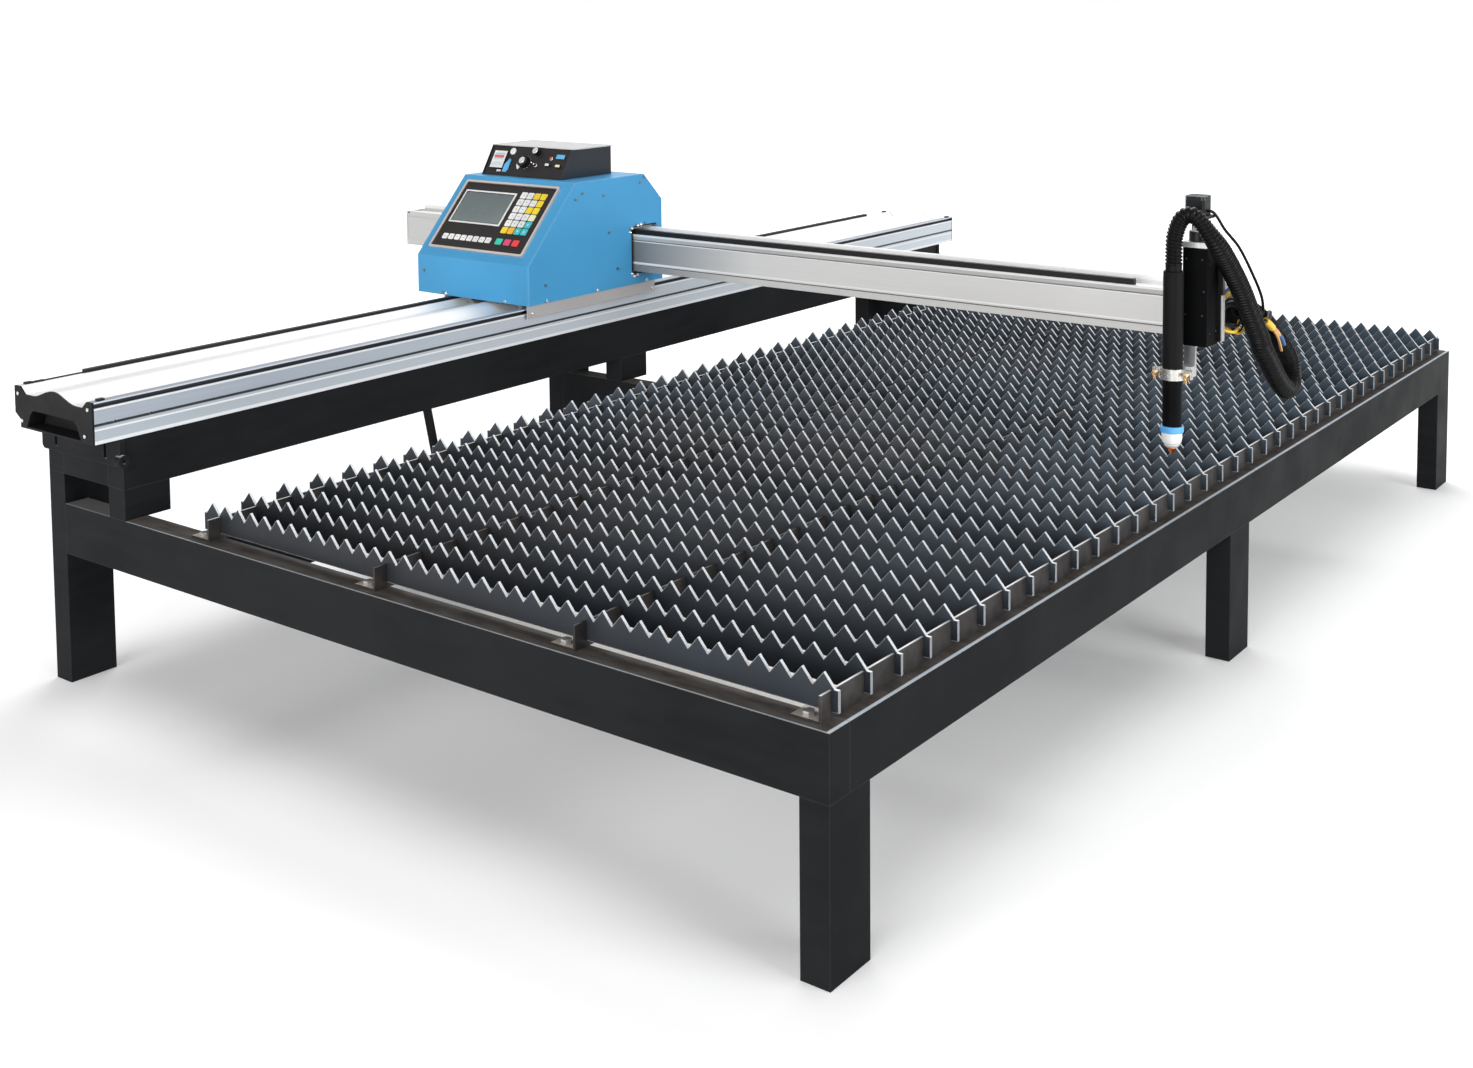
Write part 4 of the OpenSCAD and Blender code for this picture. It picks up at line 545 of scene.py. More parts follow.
def two_tone_and_sheen(name, colour, other, axis, split, rough, metal=0.0, specular=0.3, rim=None):
    """A piece that changes colour at one place along an axis, with bright edges beyond it if asked."""
    s = Surface(name, colour, rough, metal, specular)
    s.tint(s.noise(14.0, 4.0), tuple(min(1, c * 1.3 + 0.002) for c in colour), 0.8)
    beyond = s.along(axis, split - 0.3, split + 0.3)
    s.tint(beyond, other)
    if rim:
        s.tint(s.both(beyond, s.edges(0.0018, 0.02, 0.2)), rim)
    s.roughen(s.noise(60.0, 3.0), 0.10)
    s.bump(s.noise(800.0, 2.0), 0.00004, 0.4)
    return s.done(round_edges=0.0008)


def dress(node, material):
    """Gives a CAD node its material, in each of its slots."""
    data = NODES[node].data
    if not data.materials:
        data.materials.append(material)
    for i in range(len(data.materials)):
        data.materials[i] = material


def dress_all():
    frame_paint = steel_of_frame()
    for node in (
        "front_beam", "middle_beam", "rear_beam", "right_beam", "bed_beam", "bed_joists", "right_legs",
        "left_legs", "support_posts", "support_cross_tubes", "support_beam_left", "support_beam_right",
        "support_prop", "rail_brackets",
    ):
        dress(node, frame_paint)
    blue = painted("housing_blue", (0.058, 0.325, 0.610), 0.36, vary=0.10, edge=(0.25, 0.56, 0.84), specular=0.35)
    for node in ("housing_shell", "housing_side_right", "housing_side_left"):
        dress(node, blue)
    dress("rail_extrusion", rail_aluminium())
    dress("gantry_beam", beam_aluminium())
    dress("beam_end_plates", end_alloy())
    dress("rail_end_caps", moulded("cap_black", (0.0108, 0.0108, 0.0118), 0.45, specular=0.09))
    rack = painted("rack_black", (0.008, 0.008, 0.009), 0.42, edge=(0.03, 0.03, 0.034), edge_size=0.001,
                   specular=0.25)
    dress("rail_rack", rack)
    dress("beam_rack", rack)
    zinc = brushed("zinc", (0.70, 0.70, 0.70), 0.28, "Z", grain=0.00001)
    for node in ("rail_screws", "comb_bolts", "axle_front", "axle_rear", "roller_left", "roller_right"):
        dress(node, zinc)
    dress("housing_screws", brushed("screw_steel", (0.16, 0.19, 0.22), 0.3, "Z", edge=(0.6, 0.62, 0.65)))
    dress("carriage_skirts", brushed("skirt_steel", (0.50, 0.485, 0.475), 0.36, "Y", vary=0.03,
                                     grain=0.000002, metal=0.3))
    plate = brushed("plate_steel", (0.36, 0.37, 0.38), 0.35, "Y")
    dress("carriage_plate", plate)
    dress("beam_guides", plate)
    dress("slats", steel_of_slats())
    dress("combs", steel_of_combs())
    gear = brushed("gear_steel", (0.40, 0.41, 0.42), 0.3, "X")
    dress("rail_pinion", gear)
    dress("beam_pinion", gear)
    black_metal = painted("motor_black", (0.010, 0.011, 0.012), 0.36, edge=(0.06, 0.06, 0.07), edge_size=0.0015,
                          specular=0.3)
    dress("rail_motor", black_metal)
    dress("beam_motor", black_metal)
    dress("lifter_motor", two_tone_and_sheen("motor_two_tone", (0.0070, 0.0075, 0.0085), (0.016, 0.017, 0.019), "Z", 932.0, 0.36,
                                    specular=0.12, rim=(0.80, 0.82, 0.85)))
    dress("lifter_housing", painted("lifter_black", (0.0034, 0.0036, 0.0040), 0.36, edge=(0.022, 0.024, 0.027),
                                    edge_size=0.0015, specular=0.025))
    dress("lifter_frame", lifter_plates())
    alloy = brushed("lifter_alloy", (0.58, 0.59, 0.60), 0.30, "Z")
    dress("lift_arm", alloy)
    dress("torch_clamp", brushed("clamp_alloy", (0.62, 0.61, 0.58), 0.20, "X", vary=0.35, edge=(0.85, 0.84, 0.82)))
    dress("lift_screw", two_tone_and_sheen("screw_two_tone", (0.012, 0.012, 0.013), (0.62, 0.60, 0.58), "Z", 869.2, 0.36, 0.3))
    dress("panel_bezel", brushed("bezel_metal", (0.72, 0.63, 0.58), 0.28, "X", metal=0.7))
    dress("panel_face", moulded("panel_black", (0.0145, 0.0125, 0.0125), 0.5, specular=0.25))
    dress("screen", moulded("screen_white", (0.76, 0.76, 0.75), 0.4))
    dress("height_box", painted("box_black", (0.013, 0.016, 0.022), 0.38, edge=(0.05, 0.055, 0.065),
                                edge_size=0.0015, specular=0.3))
    dress("height_lid", painted("lid_light", (0.50, 0.50, 0.50), 0.42, vary=0.10, edge=(0.80, 0.80, 0.80),
                                edge_size=0.003))
    dress("height_face", moulded("face_black", (0.019, 0.017, 0.0165), 0.42, specular=0.25))
    knob = moulded("knob_black", (0.006, 0.006, 0.006), 0.32, specular=0.35)
    dress("height_knob", knob)
    dress("height_dial", knob)
    # The torch sleeve above z 603 is lighter: a painted sheen
    dress("torch_body", two_tone_and_sheen("torch_painted_sheen", (0.0032, 0.0032, 0.0038), (0.0105, 0.0105, 0.0110), "Z",
                                 603.0, 0.34, specular=0.045))
    dress("torch_collar", moulded("collar_blue", (0.085, 0.36, 0.74), 0.30, coat=0.3))
    dress("torch_cup", two_tone_and_sheen("cup_two_tone", (0.55, 0.52, 0.51), (0.84, 0.84, 0.83), "Z", 452.3, 0.3))
    dress("torch_nozzle", brushed("nozzle_copper", (0.62, 0.20, 0.075), 0.30, "Z"))


# ---------------------------------------------------------------- small pieces
def local(origin, across, up):
    """The frame of a face: its x and y lie in the face, its z stands out of it, all in millimetres."""
    across, up = Vector(across).normalized(), Vector(up).normalized()
    turn = Matrix((across, up, across.cross(up))).transposed().to_4x4()
    return Matrix.Translation(at(*origin)) @ turn @ Matrix.Scale(0.001, 4)


def leaning(x, y, z, angle):
    return local((x, y, z), (1, 0, 0), (0, math.cos(math.radians(angle)), math.sin(math.radians(angle))))


PANEL = leaning(-110, 1080, 702, 47.603)
BOX_FACE = leaning(-77, 1274, 886, 59.265)
TABLE = local((0, 0, 0), (1, 0, 0), (0, 1, 0))


class Piece:
    """A small piece put together from rounded slabs and turned shapes."""

    def __init__(self, name, body, slot, *materials):
        self.name, self.body, self.slot, self.materials = name, body, slot, materials
        self.bm = bmesh.new()

    def add(self, part, place, material):
        for face in part.faces:
            face.material_index = material
        part.transform(place)
        mesh = bpy.data.meshes.new("part")
        part.to_mesh(mesh)
        part.free()
        self.bm.from_mesh(mesh)
        bpy.data.meshes.remove(mesh)

    def slab(self, place, low, high, bevel=0.3, material=0, outline=None):
        """A slab with rounded edges; outline gives its own corners in place of a rectangle."""
        part = bmesh.new()
        corners = outline or [(low[0], low[1]), (high[0], low[1]), (high[0], high[1]), (low[0], high[1])]
        base = [part.verts.new((x, y, low[2])) for x, y in corners]
        top = [part.verts.new((x, y, high[2])) for x, y in corners]
        n = len(corners)
        part.faces.new(list(reversed(base)))
        part.faces.new(top)
        for k in range(n):
            part.faces.new((base[k], base[(k + 1) % n], top[(k + 1) % n], top[k]))
        edges = [e for e in part.edges if not (e.verts[0] in base and e.verts[1] in base)]
        bmesh.ops.bevel(part, geom=edges, offset=bevel, segments=2, profile=0.6, affect="EDGES",
                        clamp_overlap=True)
        self.add(part, place, material)

    def turned(self, place, centre, profile, sides=28, material=0):
        """A turned shape; profile lists (radius, height) from its foot to its top."""
        part = bmesh.new()
        rings = []
        for r, z in profile:
            rings.append([part.verts.new((centre[0] + r * math.cos(2 * math.pi * k / sides),
                                          centre[1] + r * math.sin(2 * math.pi * k / sides), z))
                          for k in range(sides)])
        for a, b in zip(rings, rings[1:]):
            for k in range(sides):
                part.faces.new((a[k], a[(k + 1) % sides], b[(k + 1) % sides], b[k])).smooth = True
        part.faces.new(list(reversed(rings[0])))
        part.faces.new(rings[-1])
        self.add(part, place, material)

    def done(self, replaces=()):
        piece = new_object(self.name, self.bm)
        for material in self.materials:
            piece.data.materials.append(material)
        if replaces:
            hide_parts(*replaces)
        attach(piece, self.body)
        return piece


def dome(r, low, high):
    """A button's profile: straight sides and a rounded rim."""
    e = min(0.35 * r, 0.5 * (high - low))
    return [(r, low), (r, high - e), (r - 0.3 * e, high - 0.3 * e), (r - e, high)]


def head(r, low, high):
    """A screw head with a round rim and a socket in its middle."""
    e = 0.4 * (high - low)
    return [(r, low), (r, high - e), (r - e, high), (0.5 * r, high), (0.45 * r, high - e), (0.05 * r, high - e)]


def crescent(centre, inner, outer, start, end):
    """The corners of a bent strip between two radii and two angles in degrees."""
    angles = [math.radians(start + (end - start) * k / 12) for k in range(13)]
    far = [(centre[0] + outer * math.cos(a), centre[1] + outer * math.sin(a)) for a in angles]
    near = [(centre[0] + inner * math.cos(a), centre[1] + inner * math.sin(a)) for a in reversed(angles)]
    return far + near


KEY_COLOURS = {
    "W": (0.78, 0.78, 0.77), "Y": (0.86, 0.62, 0.03), "P": (0.80, 0.76, 0.52), "T": (0.05, 0.52, 0.55),
    "O": (0.90, 0.45, 0.03), "G": (0.04, 0.55, 0.38), "K": (0.70, 0.06, 0.16), "R": (0.78, 0.04, 0.05),
}
KEY_ROWS = ("YOTT", "WWWT", "WWWP", "WWYY", "WWWY", "WWYY")


def make_panel():
    names = list(KEY_COLOURS)
    keys = Piece("keypad_keys", "carriage", "keys",
                 *(moulded("key_" + n.lower(), KEY_COLOURS[n], 0.42) for n in names),
                 moulded("key_mark", (0.10, 0.10, 0.11), 0.5))
    mark = len(names)
    spots = [(61 + i * 21.23, 59, "W", i % 3, 8.5, 7.8) for i in range(8)]
    spots += [(246 + i * 27.94, 59, "GKR"[i], 3, 10.2, 8.6) for i in range(3)]
    spots += [(243 + i * 22, 93 + j * 21, KEY_ROWS[j][i], 4 if KEY_ROWS[j][i] == "T" else (i + j) % 3, 9.5, 9.2)
              for j in range(6) for i in range(4)]
    for x, y, colour, sort, w, h in spots:
        c = 1.8
        keys.slab(PANEL, (0, 0, 3.0), (0, 0, 4.6), 0.35, names.index(colour),
                  [(x - w + c, y - h), (x + w - c, y - h), (x + w, y - h + c), (x + w, y + h - c),
                   (x + w - c, y + h), (x - w + c, y + h), (x - w, y + h - c), (x - w, y - h + c)])
        if colour == "W":
            half = 2.6 - 0.5 * sort
            keys.slab(PANEL, (x - half, y - 0.6, 4.6), (x + half, y + 0.6, 4.66), 0.02, mark)
            if sort:
                keys.slab(PANEL, (x - 1.2, y + 1.6, 4.6), (x + 1.2, y + 2.6, 4.66), 0.02, mark)
    for x, y, turn in ((309, 114, 0), (287, 93, 1), (309, 93, 3), (287, 114, 2)):
        a = math.pi / 2 * turn
        tip = [(0, 3.6), (-3.0, -2.0), (3.0, -2.0)]
        pts = [(x + px * math.cos(a) - py * math.sin(a), y + px * math.sin(a) + py * math.cos(a)) for px, py in tip]
        keys.slab(PANEL, (0, 0, 4.6), (0, 0, 4.7), 0.02, 0 if (x, y) != (287, 114) else names.index("T"), pts)
    keys.done(replaces=("keypad",))

    glass = Surface("display_glass", (0.150, 0.185, 0.185), 0.22, specular=0.4)
    glass.tint(glass.noise(9.0, 2.0), (0.20, 0.24, 0.235), 0.8)
    glass.tint(glass.along("Z", 790, 850), (0.11, 0.135, 0.14), 0.8)
    glass.roughen(glass.noise(40.0, 2.0), 0.06)
    glass.bump(glass.noise(300.0, 2.0), 0.00001, 0.3)
    shown = Piece("screen_display", "carriage", "screen", glass.done(),
                  moulded("display_rim", (0.02, 0.02, 0.02), 0.5, specular=0.25))
    shown.slab(PANEL, (47.3, 106.3, 4.0), (213.7, 196.7, 4.3), 0.1, 1)
    shown.slab(PANEL, (49.5, 107.5, 4.3), (212.5, 194.5, 4.7), 0.15, 0)
    shown.done()


# The middle of the scale round the large knob, and the height of the knobs' tops
DIAL_RING = (131.0, 42.1)
KNOB_TOP = 14.0 - 3.0 + 0.15


def make_box_face():
    """The height control box's display, lamps and switches, all without words."""
    white = moulded("face_white", (0.80, 0.80, 0.79), 0.4)
    red = moulded("stripe_red", (0.62, 0.16, 0.12), 0.45)
    pale = moulded("stripe_pale", (0.46, 0.55, 0.68), 0.45)
    sky = moulded("face_sky", (0.12, 0.45, 0.78), 0.35)
    card = Piece("control_display", "carriage", "keys", white, red, pale, sky)
    card.slab(BOX_FACE, (18.5, 21.5, 1.0), (61.5, 68.5, 1.6), 0.2, 0)
    for y0, y1, m in ((58, 62.5, 2), (48.5, 56.5, 1), (44.5, 46.5, 2), (34, 35.6, 2), (29, 30.6, 2)):
        card.slab(BOX_FACE, (22.5, y0, 1.6), (56.0, y1, 1.68), 0.03, m)
    card.slab(BOX_FACE, (0, 0, -3.0), (0, 0, -0.6), 0.4, 3,
              [(65, 12), (77, 12), (82, 20), (82, 46), (77, 50), (65, 34)])
    card.slab(BOX_FACE, (44, 12.5, -3.0), (58, 17.5, -1.8), 0.4, 0)
    card.turned(BOX_FACE, (78, 70.0), dome(9.2, -3.0, 1.2), 32, 0)
    card.slab(BOX_FACE, (0, 0, -3.0), (0, 0, -2.4), 0.1, 0, crescent(DIAL_RING, 19.0, 27.6, 134, 228))
    card.slab(BOX_FACE, (230.2, 57.6, -1.5), (257.8, 69.0, -0.9), 0.2, 3)
    card.slab(BOX_FACE, (206.0, 35.4, 2.0), (218.0, 41.4, 3.4), 0.5, 0)
    card.done()

    lamp = moulded("lamp_amber", (0.72, 0.10, 0.03), 0.2, coat=0.5)
    cream = moulded("switch_cream", (0.82, 0.74, 0.48), 0.4)
    chrome = brushed("chrome", (0.80, 0.80, 0.80), 0.16, "Z", grain=0.00001)
    bits = Piece("control_lamps", "carriage", "keys", lamp, cream, chrome)
    bits.turned(BOX_FACE, (215.7, 56.8), [(4.9, -3.0), (4.9, -1.4), (4.2, -0.8), (3.6, -0.8)], 28, 2)
    bits.turned(BOX_FACE, (215.7, 56.8), [(2.9, 1.0), (2.9, 1.6), (2.3, 2.4), (1.2, 2.9), (0.3, 3.0)], 24, 0)
    bits.slab(BOX_FACE, (241.2, 33.8, 2.0), (255.2, 39.8, 3.4), 0.5, 1)
    bits.turned(BOX_FACE, (169.3, 36.2), [(5.6, -3.0), (5.6, -1.8), (4.9, -1.2), (4.1, -1.2)], 6, 2)
    bits.turned(BOX_FACE, (169.3, 36.2),
                [(2.6, 5.0), (2.4, 6.2), (1.3, 6.8), (1.6, 10.0), (2.1, 13.0), (1.9, 14.6), (1.0, 15.4)], 20, 2)
    for k in range(9):
        a = math.radians(-72 + k * 26)
        spot = (DIAL_RING[0] + 18.6 * math.cos(a), DIAL_RING[1] + 18.6 * math.sin(a))
        bits.turned(BOX_FACE, spot, dome(0.9, -3.0, -2.7), 12, 1)
    bits.done()

    for name, body, centre, r in (("knob_cap", "level_knob", (131.04, 42.18), 9.0),
                                  ("dial_cap", "level_dial", (163.8, 70.59), 8.2)):
        cap = Piece(name, body, "knob_black", chrome, white)
        cap.turned(BOX_FACE, centre,
                   [(r, KNOB_TOP - 0.3), (r, KNOB_TOP + 0.5), (r - 0.6, KNOB_TOP + 0.9), (0.6 * r, KNOB_TOP + 1.0)],
                   32, 0)
        cap.slab(BOX_FACE, (centre[0] - 0.6, centre[1] + 0.1 * r, KNOB_TOP + 0.9),
                 (centre[0] + 0.6, centre[1] + 0.95 * r, KNOB_TOP + 1.2), 0.1, 1)
        cap.done()


def make_rail_details():
    strip = Piece("rail_strip", "table", "rack_steel", painted("strip_black", (0.009, 0.009, 0.010), 0.42,
                                                               specular=0.25))
    strip.slab(TABLE, (2.5, -42, 600.0), (7.5, 78, 602.2), 0.4)
    strip.slab(TABLE, (1.5, -41, 600.0), (9.5, -8, 603.0), 0.5)
    strip.done()
    dark = moulded("hole_dark", (0.006, 0.006, 0.007), 0.6, specular=0.15)
    rim = brushed("hole_rim", (0.40, 0.43, 0.47), 0.3, "Z")
    holes = Piece("rail_holes", "table", "rail_aluminium", dark, rim)
    side = local((255, 0, 0), (0, 1, 0), (0, 0, 1))
    # Each hole: a ring, and a dark disc in it that stands for the shade inside the hole
    for y in (-17.4, 60.0, 2970.0, 3047.4):
        holes.turned(side, (y, 557.5), [(3.0, 0.0), (3.0, 0.15), (2.6, 0.25), (2.3, 0.25)], 20, 1)
        holes.turned(side, (y, 557.5), [(2.3, 0.2), (2.3, 0.3), (1.0, 0.32)], 20, 0)
    holes.done()


def make_beam_details():
    dark = moulded("stub_dark", (0.006, 0.006, 0.007), 0.6, specular=0.15)
    steel = brushed("stub_steel", (0.45, 0.45, 0.46), 0.3, "Z")
    face = local((0, 1462, 0), (1, 0, 0), (0, 0, 1))
    bits = Piece("beam_fixings", "beam", "beam_aluminium", dark, steel)
    bits.turned(face, (-559.5, 733.0), [(3.4, 0.0), (3.4, 0.25), (3.0, 0.4), (2.6, 0.4)], 24, 1)
    bits.turned(face, (-559.5, 733.0), [(2.6, 0.3), (2.6, 0.45), (1.0, 0.5)], 24, 0)
    bits.done()
    bolt = brushed("window_bolt", (0.62, 0.63, 0.65), 0.22, "X", metal=0.8, edge=(0.92, 0.92, 0.92))
    lip = moulded("window_lip", (0.008, 0.008, 0.009), 0.45, specular=0.2)
    side = local((270, 0, 0), (0, 1, 0), (0, 0, 1))
    bolts = Piece("window_bolts", "carriage", "zinc_steel", bolt, lip)
    for y, z in ((1455, 752), (1448, 742), (1453, 636), (1462, 629), (1474, 631), (1478, 757), (1490, 758)):
        bolts.turned(side, (y, z), head(4.4, 0.0, 3.6), 18)
    for low, high in (((1454, 634), (1457, 756)), ((1547, 634), (1550, 756)), ((1457, 753), (1547, 756)),
                      ((1457, 634), (1547, 637))):
        bolts.slab(side, (*low, 0.0), (*high, 1.5), 0.3, 1)
    for y in (1139, 1322, 1511):
        bolts.turned(side, (y, 613), head(4.2, 0.0, 3.4), 18)
    front = local((0, 1080, 0), (1, 0, 0), (0, 0, 1))
    for x in (-10, 190):
        bolts.turned(front, (x, 613), head(4.2, 0.0, 2.6), 18)
    skirt = local((266, 0, 0), (0, 1, 0), (0, 0, 1))
    bolts.turned(skirt, (1537, 588), head(4.0, 0.0, 3.4), 18)
    bolts.turned(skirt, (1094, 590), head(4.0, 0.0, 3.4), 18)
    bolts.done()


# The short wires and plugs by the gland: material, radius and route
LOOSE_WIRES = (
    (0, 3.4, ((1803, 1468, 712), (1816, 1474, 728), (1824, 1483, 737), (1828, 1494, 728), (1824, 1506, 712))),
    (2, 2.2, ((1803, 1464, 718), (1814, 1468, 738), (1822, 1474, 746), (1828, 1485, 740), (1828, 1494, 728))),
    (1, 6.5, ((1803, 1478, 700), (1816, 1488, 712), (1825, 1500, 712), (1828, 1516, 702), (1824, 1540, 694))),
    (0, 3.2, ((1803, 1466, 668), (1816, 1474, 661), (1826, 1488, 657), (1829, 1504, 660), (1824, 1528, 674))),
    (0, 2.8, ((1803, 1500, 664), (1818, 1508, 653), (1828, 1524, 649), (1828, 1542, 657), (1820, 1548, 674))),
    (1, 3.0, ((1803, 1484, 676), (1818, 1494, 668), (1828, 1510, 667), (1827, 1528, 674), (1822, 1544, 682))),
    (1, 2.4, ((1803, 1512, 672), (1816, 1516, 658), (1824, 1530, 652), (1826, 1544, 662), (1822, 1550, 676))),
    (0, 7.5, ((1850, 1604, 664), (1852, 1612, 659), (1853, 1621, 654), (1853, 1630, 649), (1853, 1638, 644))),
    (3, 4.8, ((1853, 1636, 645), (1855, 1645, 640), (1856, 1653, 635), (1856, 1661, 630), (1856, 1668, 625))),
    (2, 4.0, ((1856, 1666, 626), (1858, 1675, 620), (1858, 1684, 613), (1857, 1692, 606), (1856, 1700, 599))),
    (3, 2.8, ((1853, 1640, 641), (1857, 1652, 628), (1858, 1664, 614), (1857, 1676, 600), (1855, 1688, 588))),
    (1, 5.0, ((1846, 1640, 676), (1849, 1630, 672), (1851, 1620, 667), (1851, 1612, 664), (1850, 1604, 662))),
)


def make_lifter_details():
    tiny = painted("tiny_screw", (0.016, 0.017, 0.019), 0.3, edge=(0.10, 0.105, 0.11), edge_size=0.0006,
                   specular=0.3)
    front = local((0, 1380, 0), (1, 0, 0), (0, 0, 1))
    right = local((1815, 0, 0), (0, 1, 0), (0, 0, 1))
    screws = Piece("lifter_screws", "beam", "lifter_black", tiny)
    for x, z in ((1804, 815), (1808, 752), (1805, 704), (1771, 815), (1770, 704)):
        screws.turned(front, (x, z), head(1.9, 0.0, 1.2), 18)
    for y, z in ((1392, 807), (1425, 807), (1392, 668), (1425, 668)):
        screws.turned(right, (y, z), head(1.9, 0.0, 1.2), 18)
    screws.done()

    brass = brushed("clamp_brass", (0.70, 0.42, 0.16), 0.24, "Y", edge=(0.95, 0.75, 0.45))
    ends = Piece("clamp_bolts", "torch", "lifter_alloy", brass)
    for x in (1730, 1794):
        near = local((x, 1326, 592), (1, 0, 0), (0, 0, 1))
        ends.turned(near, (0, 0), [(3.2, -5.0), (3.2, -0.5), (5.0, 0.0), (5.0, 2.2), (4.2, 3.0)], 6)
        ends.slab(near, (0, 0, 0.4), (0, 0, 2.6), 0.4, 0, [(-1.6, -3), (1.6, -3), (4.4, -14), (-1.8, -14)])
    ends.done()

    yellow = moulded("plug_yellow", (0.80, 0.50, 0.04), 0.4)
    black = moulded("plug_black", (0.009, 0.009, 0.010), 0.42, specular=0.3)
    navy = moulded("plug_blue", (0.03, 0.11, 0.30), 0.4)
    copper = brushed("plug_brass", (0.75, 0.42, 0.16), 0.3, "X")
    bits = Piece("gland_wires", "beam", "hose_black", yellow, black, navy, copper)
    for material, radius, points in LOOSE_WIRES:
        line = smooth([at(*q) for q in points], 6)
        bits.add(tube_mesh(line, lambda i, r=radius: r / 1000.0, 14), Matrix(), material)
    bits.done()


# ---------------------------------------------------------------- cords
# Both routes are the CAD cords' own: the hose's heights count from HOSE_TOP, the cable's points from CABLE_START
HOSE_TOP = 795
HOSE = [
    (1762, 1340, 0), (1762, 1340, 36), (1764, 1340, 70), (1777, 1339, 103), (1795, 1341, 113),
    (1811, 1346, 103), (1824, 1356, 81), (1837, 1373, 53), (1846, 1418, 4), (1854, 1456, -45),
    (1859, 1492, -96), (1862, 1533, -147), (1863, 1555, -179), (1862, 1600, -218),
    (1860, 1640, -250), (1856, 1692, -283), (1851, 1740, -299), (1846, 1778, -287),
    (1841, 1781, -253), (1836, 1760, -220), (1831, 1727, -187), (1831, 1690, -160),
    (1827, 1650, -134), (1822, 1610, -113), (1820, 1585, -106), (1820, 1560, -105),
]
# The hose in metres: the rings' distance, the ribs' pitch, the radius of its plain ends and the lengths of
# those, its core's radius with the ribs' height, and how much wider its middle grows
HOSE_STEP, RIB_PITCH = 0.00115, 0.0073
END_RADIUS, END_START, END_STOP = 0.0160, 0.012, 0.02
CORE_RADIUS, RIB_HEIGHT, MIDDLE_SWELL = 0.0130, 0.0040, 0.004
CABLE_START = (1805.8, 1401, 910)
CABLE_RADIUS = 0.003
CABLE = [
    (0, 0, 0), (5, 0, 0), (8, 10, -4), (9, 30, -17), (13, 59, -44), (27, 99, -83), (38, 144, -141),
    (44, 179, -190), (40, 203, -224),
]


def smooth(points, steps):
    """A curve through the points, the same as the CAD route's."""
    path = []
    last = len(points) - 1
    for i in range(last):
        a, b = points[max(i - 1, 0)], points[i]
        c, d = points[i + 1], points[min(i + 2, last)]
        for s in range(steps):
            t = s / steps
            path.append(0.5 * (2 * b + (c - a) * t + (2 * a - 5 * b + 4 * c - d) * t * t
                               + (3 * b - a - 3 * c + d) * t ** 3))
    path.append(points[last])
    return path


def tube_mesh(path, radius_at, sides):
    """A closed tube swept along the path; radius_at gives each ring's radius."""
    bm = bmesh.new()
    rings = []
    side = None
    for i, p in enumerate(path):
        ahead = (path[min(i + 1, len(path) - 1)] - path[max(i - 1, 0)]).normalized()
        if side is None:
            side = ahead.cross(Vector((0, 1, 0.01))).normalized()
        side = (side - ahead * side.dot(ahead)).normalized()
        other = ahead.cross(side)
        r = radius_at(i)
        rings.append([
            bm.verts.new(p + r * (math.cos(2 * math.pi * k / sides) * side
                                  + math.sin(2 * math.pi * k / sides) * other))
            for k in range(sides)
        ])
    for low, high in zip(rings, rings[1:]):
        for k in range(sides):
            bm.faces.new((low[k], low[(k + 1) % sides], high[(k + 1) % sides], high[k]))
    bm.faces.new(reversed(rings[0]))
    bm.faces.new(rings[-1])
    bmesh.ops.recalc_face_normals(bm, faces=bm.faces)
    for face in bm.faces:
        face.smooth = len(face.verts) == 4
    return bm


def new_object(name, bm):
    mesh = bpy.data.meshes.new(name)
    bm.to_mesh(mesh)
    bm.free()
    piece = bpy.data.objects.new(name, mesh)
    bpy.context.scene.collection.objects.link(piece)
    return piece


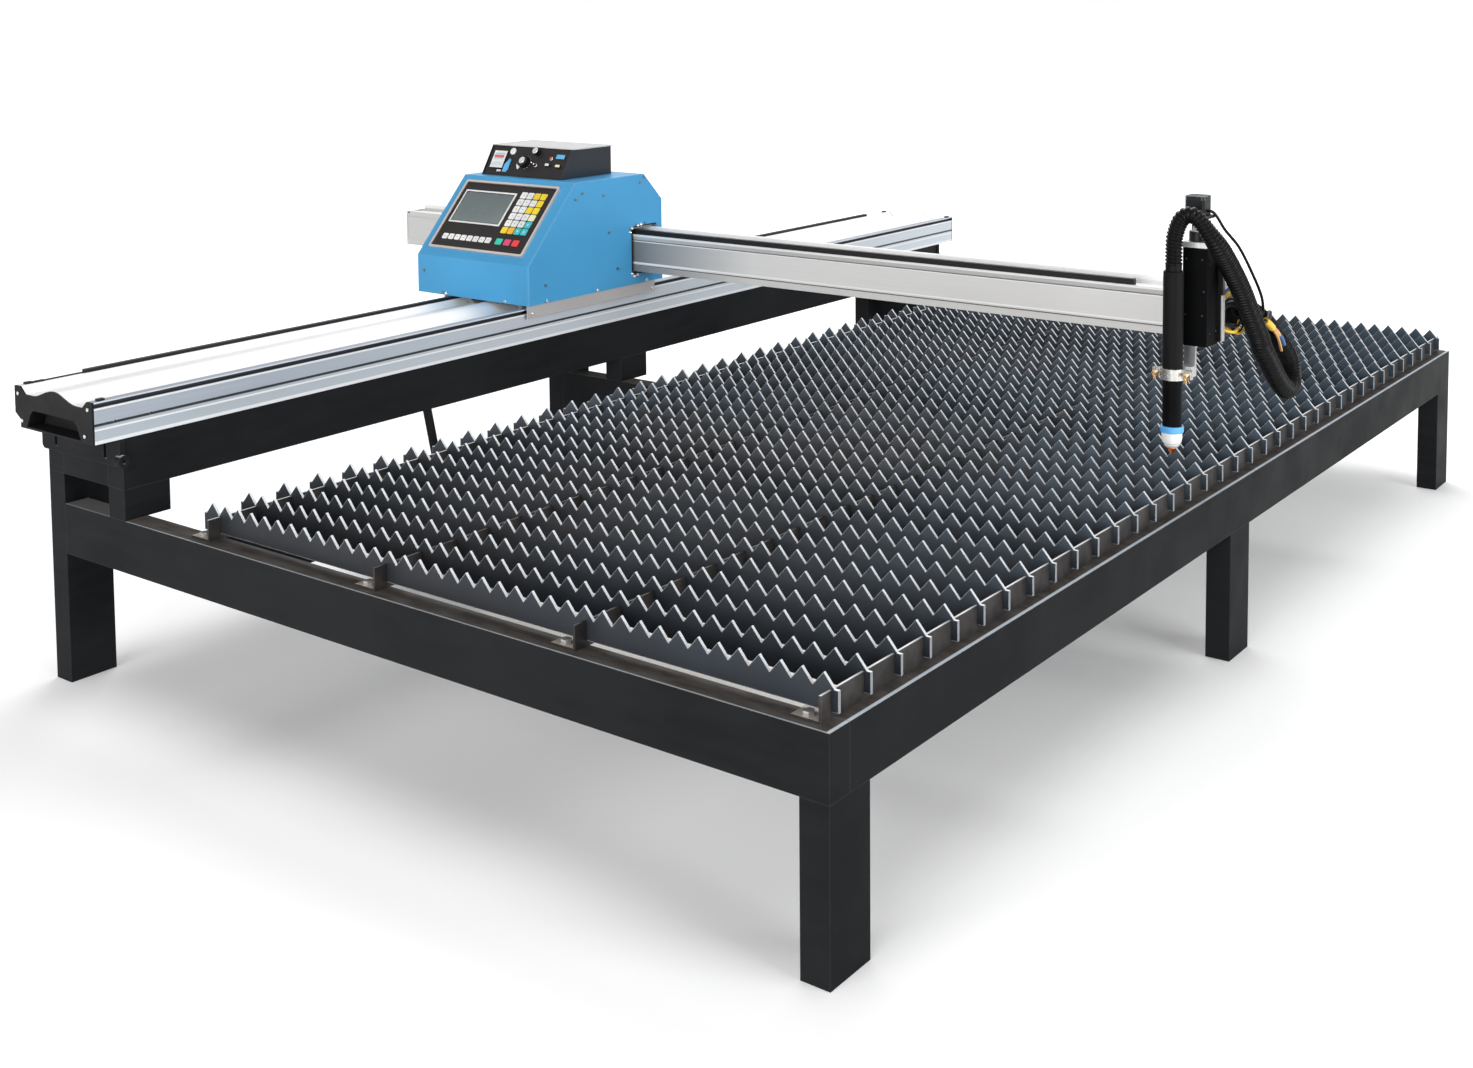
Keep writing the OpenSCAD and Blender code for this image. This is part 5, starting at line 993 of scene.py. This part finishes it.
def resampled(path, step):
    """The same line with points a set distance apart."""
    out, left = [path[0]], step
    for a, b in zip(path, path[1:]):
        length = (b - a).length
        while left <= length:
            out.append(a.lerp(b, left / length))
            left += step
        left -= length
    if (out[-1] - path[-1]).length > step * 0.5:
        out.append(path[-1])
    else:
        out[-1] = path[-1]
    return out


def line_length(path):
    return sum((b - a).length for a, b in zip(path, path[1:]))


def make_cords():
    rubber = Surface("hose_rubber", (0.0038, 0.0038, 0.0042), 0.26, specular=0.10)
    rubber.tint(rubber.noise(30.0, 4.0), (0.0075, 0.0075, 0.0082), 0.6)
    rubber.roughen(rubber.noise(80.0, 3.0), 0.08)
    rubber = rubber.done()
    line = smooth([at(x, y, z + HOSE_TOP) for x, y, z in HOSE], 12)
    fine = resampled(line, HOSE_STEP)
    length = line_length(line)

    def radius(i):
        s = min(i * HOSE_STEP, length)
        grow = min(1.0, max(0.0, (s - 0.165) / 0.06), max(0.0, (length - s - 0.16) / 0.08))
        if s < END_START or s > length - END_STOP:
            return END_RADIUS
        return CORE_RADIUS + MIDDLE_SWELL * grow + RIB_HEIGHT * abs(math.cos(math.pi * s / RIB_PITCH)) ** 0.8

    hose = new_object("torch_hose_ribbed", tube_mesh(fine, radius, 26))
    hose.data.materials.append(rubber)
    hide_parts("torch_hose")
    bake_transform(hose)
    resampled(line, 0.004)
    start = Vector(CABLE_START)
    thin = smooth([at(*(start + Vector(p))) for p in CABLE], 10)
    cable = new_object("motor_cable_round", tube_mesh(thin, lambda i: CABLE_RADIUS, 16))
    cable.data.materials.append(rubber)
    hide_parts("motor_cable")
    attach(cable, "beam")


def main():
    bpy.context.scene.view_settings.view_transform = "Standard"
    make_camera()
    make_world()
    make_floor()
    area_light("above", (-1.6, 3.4, 5.0), (0.0, 0.0, 0.0), (6.0, 5.0), 310)
    area_light("front", (1.2, -8.0, 2.2), (0.0, 0.0, 0.5), (6.0, 3.0), 420, (1.0, 0.995, 0.99))
    area_light("right", (8.0, -0.5, 2.2), (0.0, 0.3, 0.5), (5.0, 3.0), 420, (0.98, 0.99, 1.0))
    make_cords()
    dress_all()
    make_panel()
    make_box_face()
    make_rail_details()
    make_beam_details()
    make_lifter_details()


main()
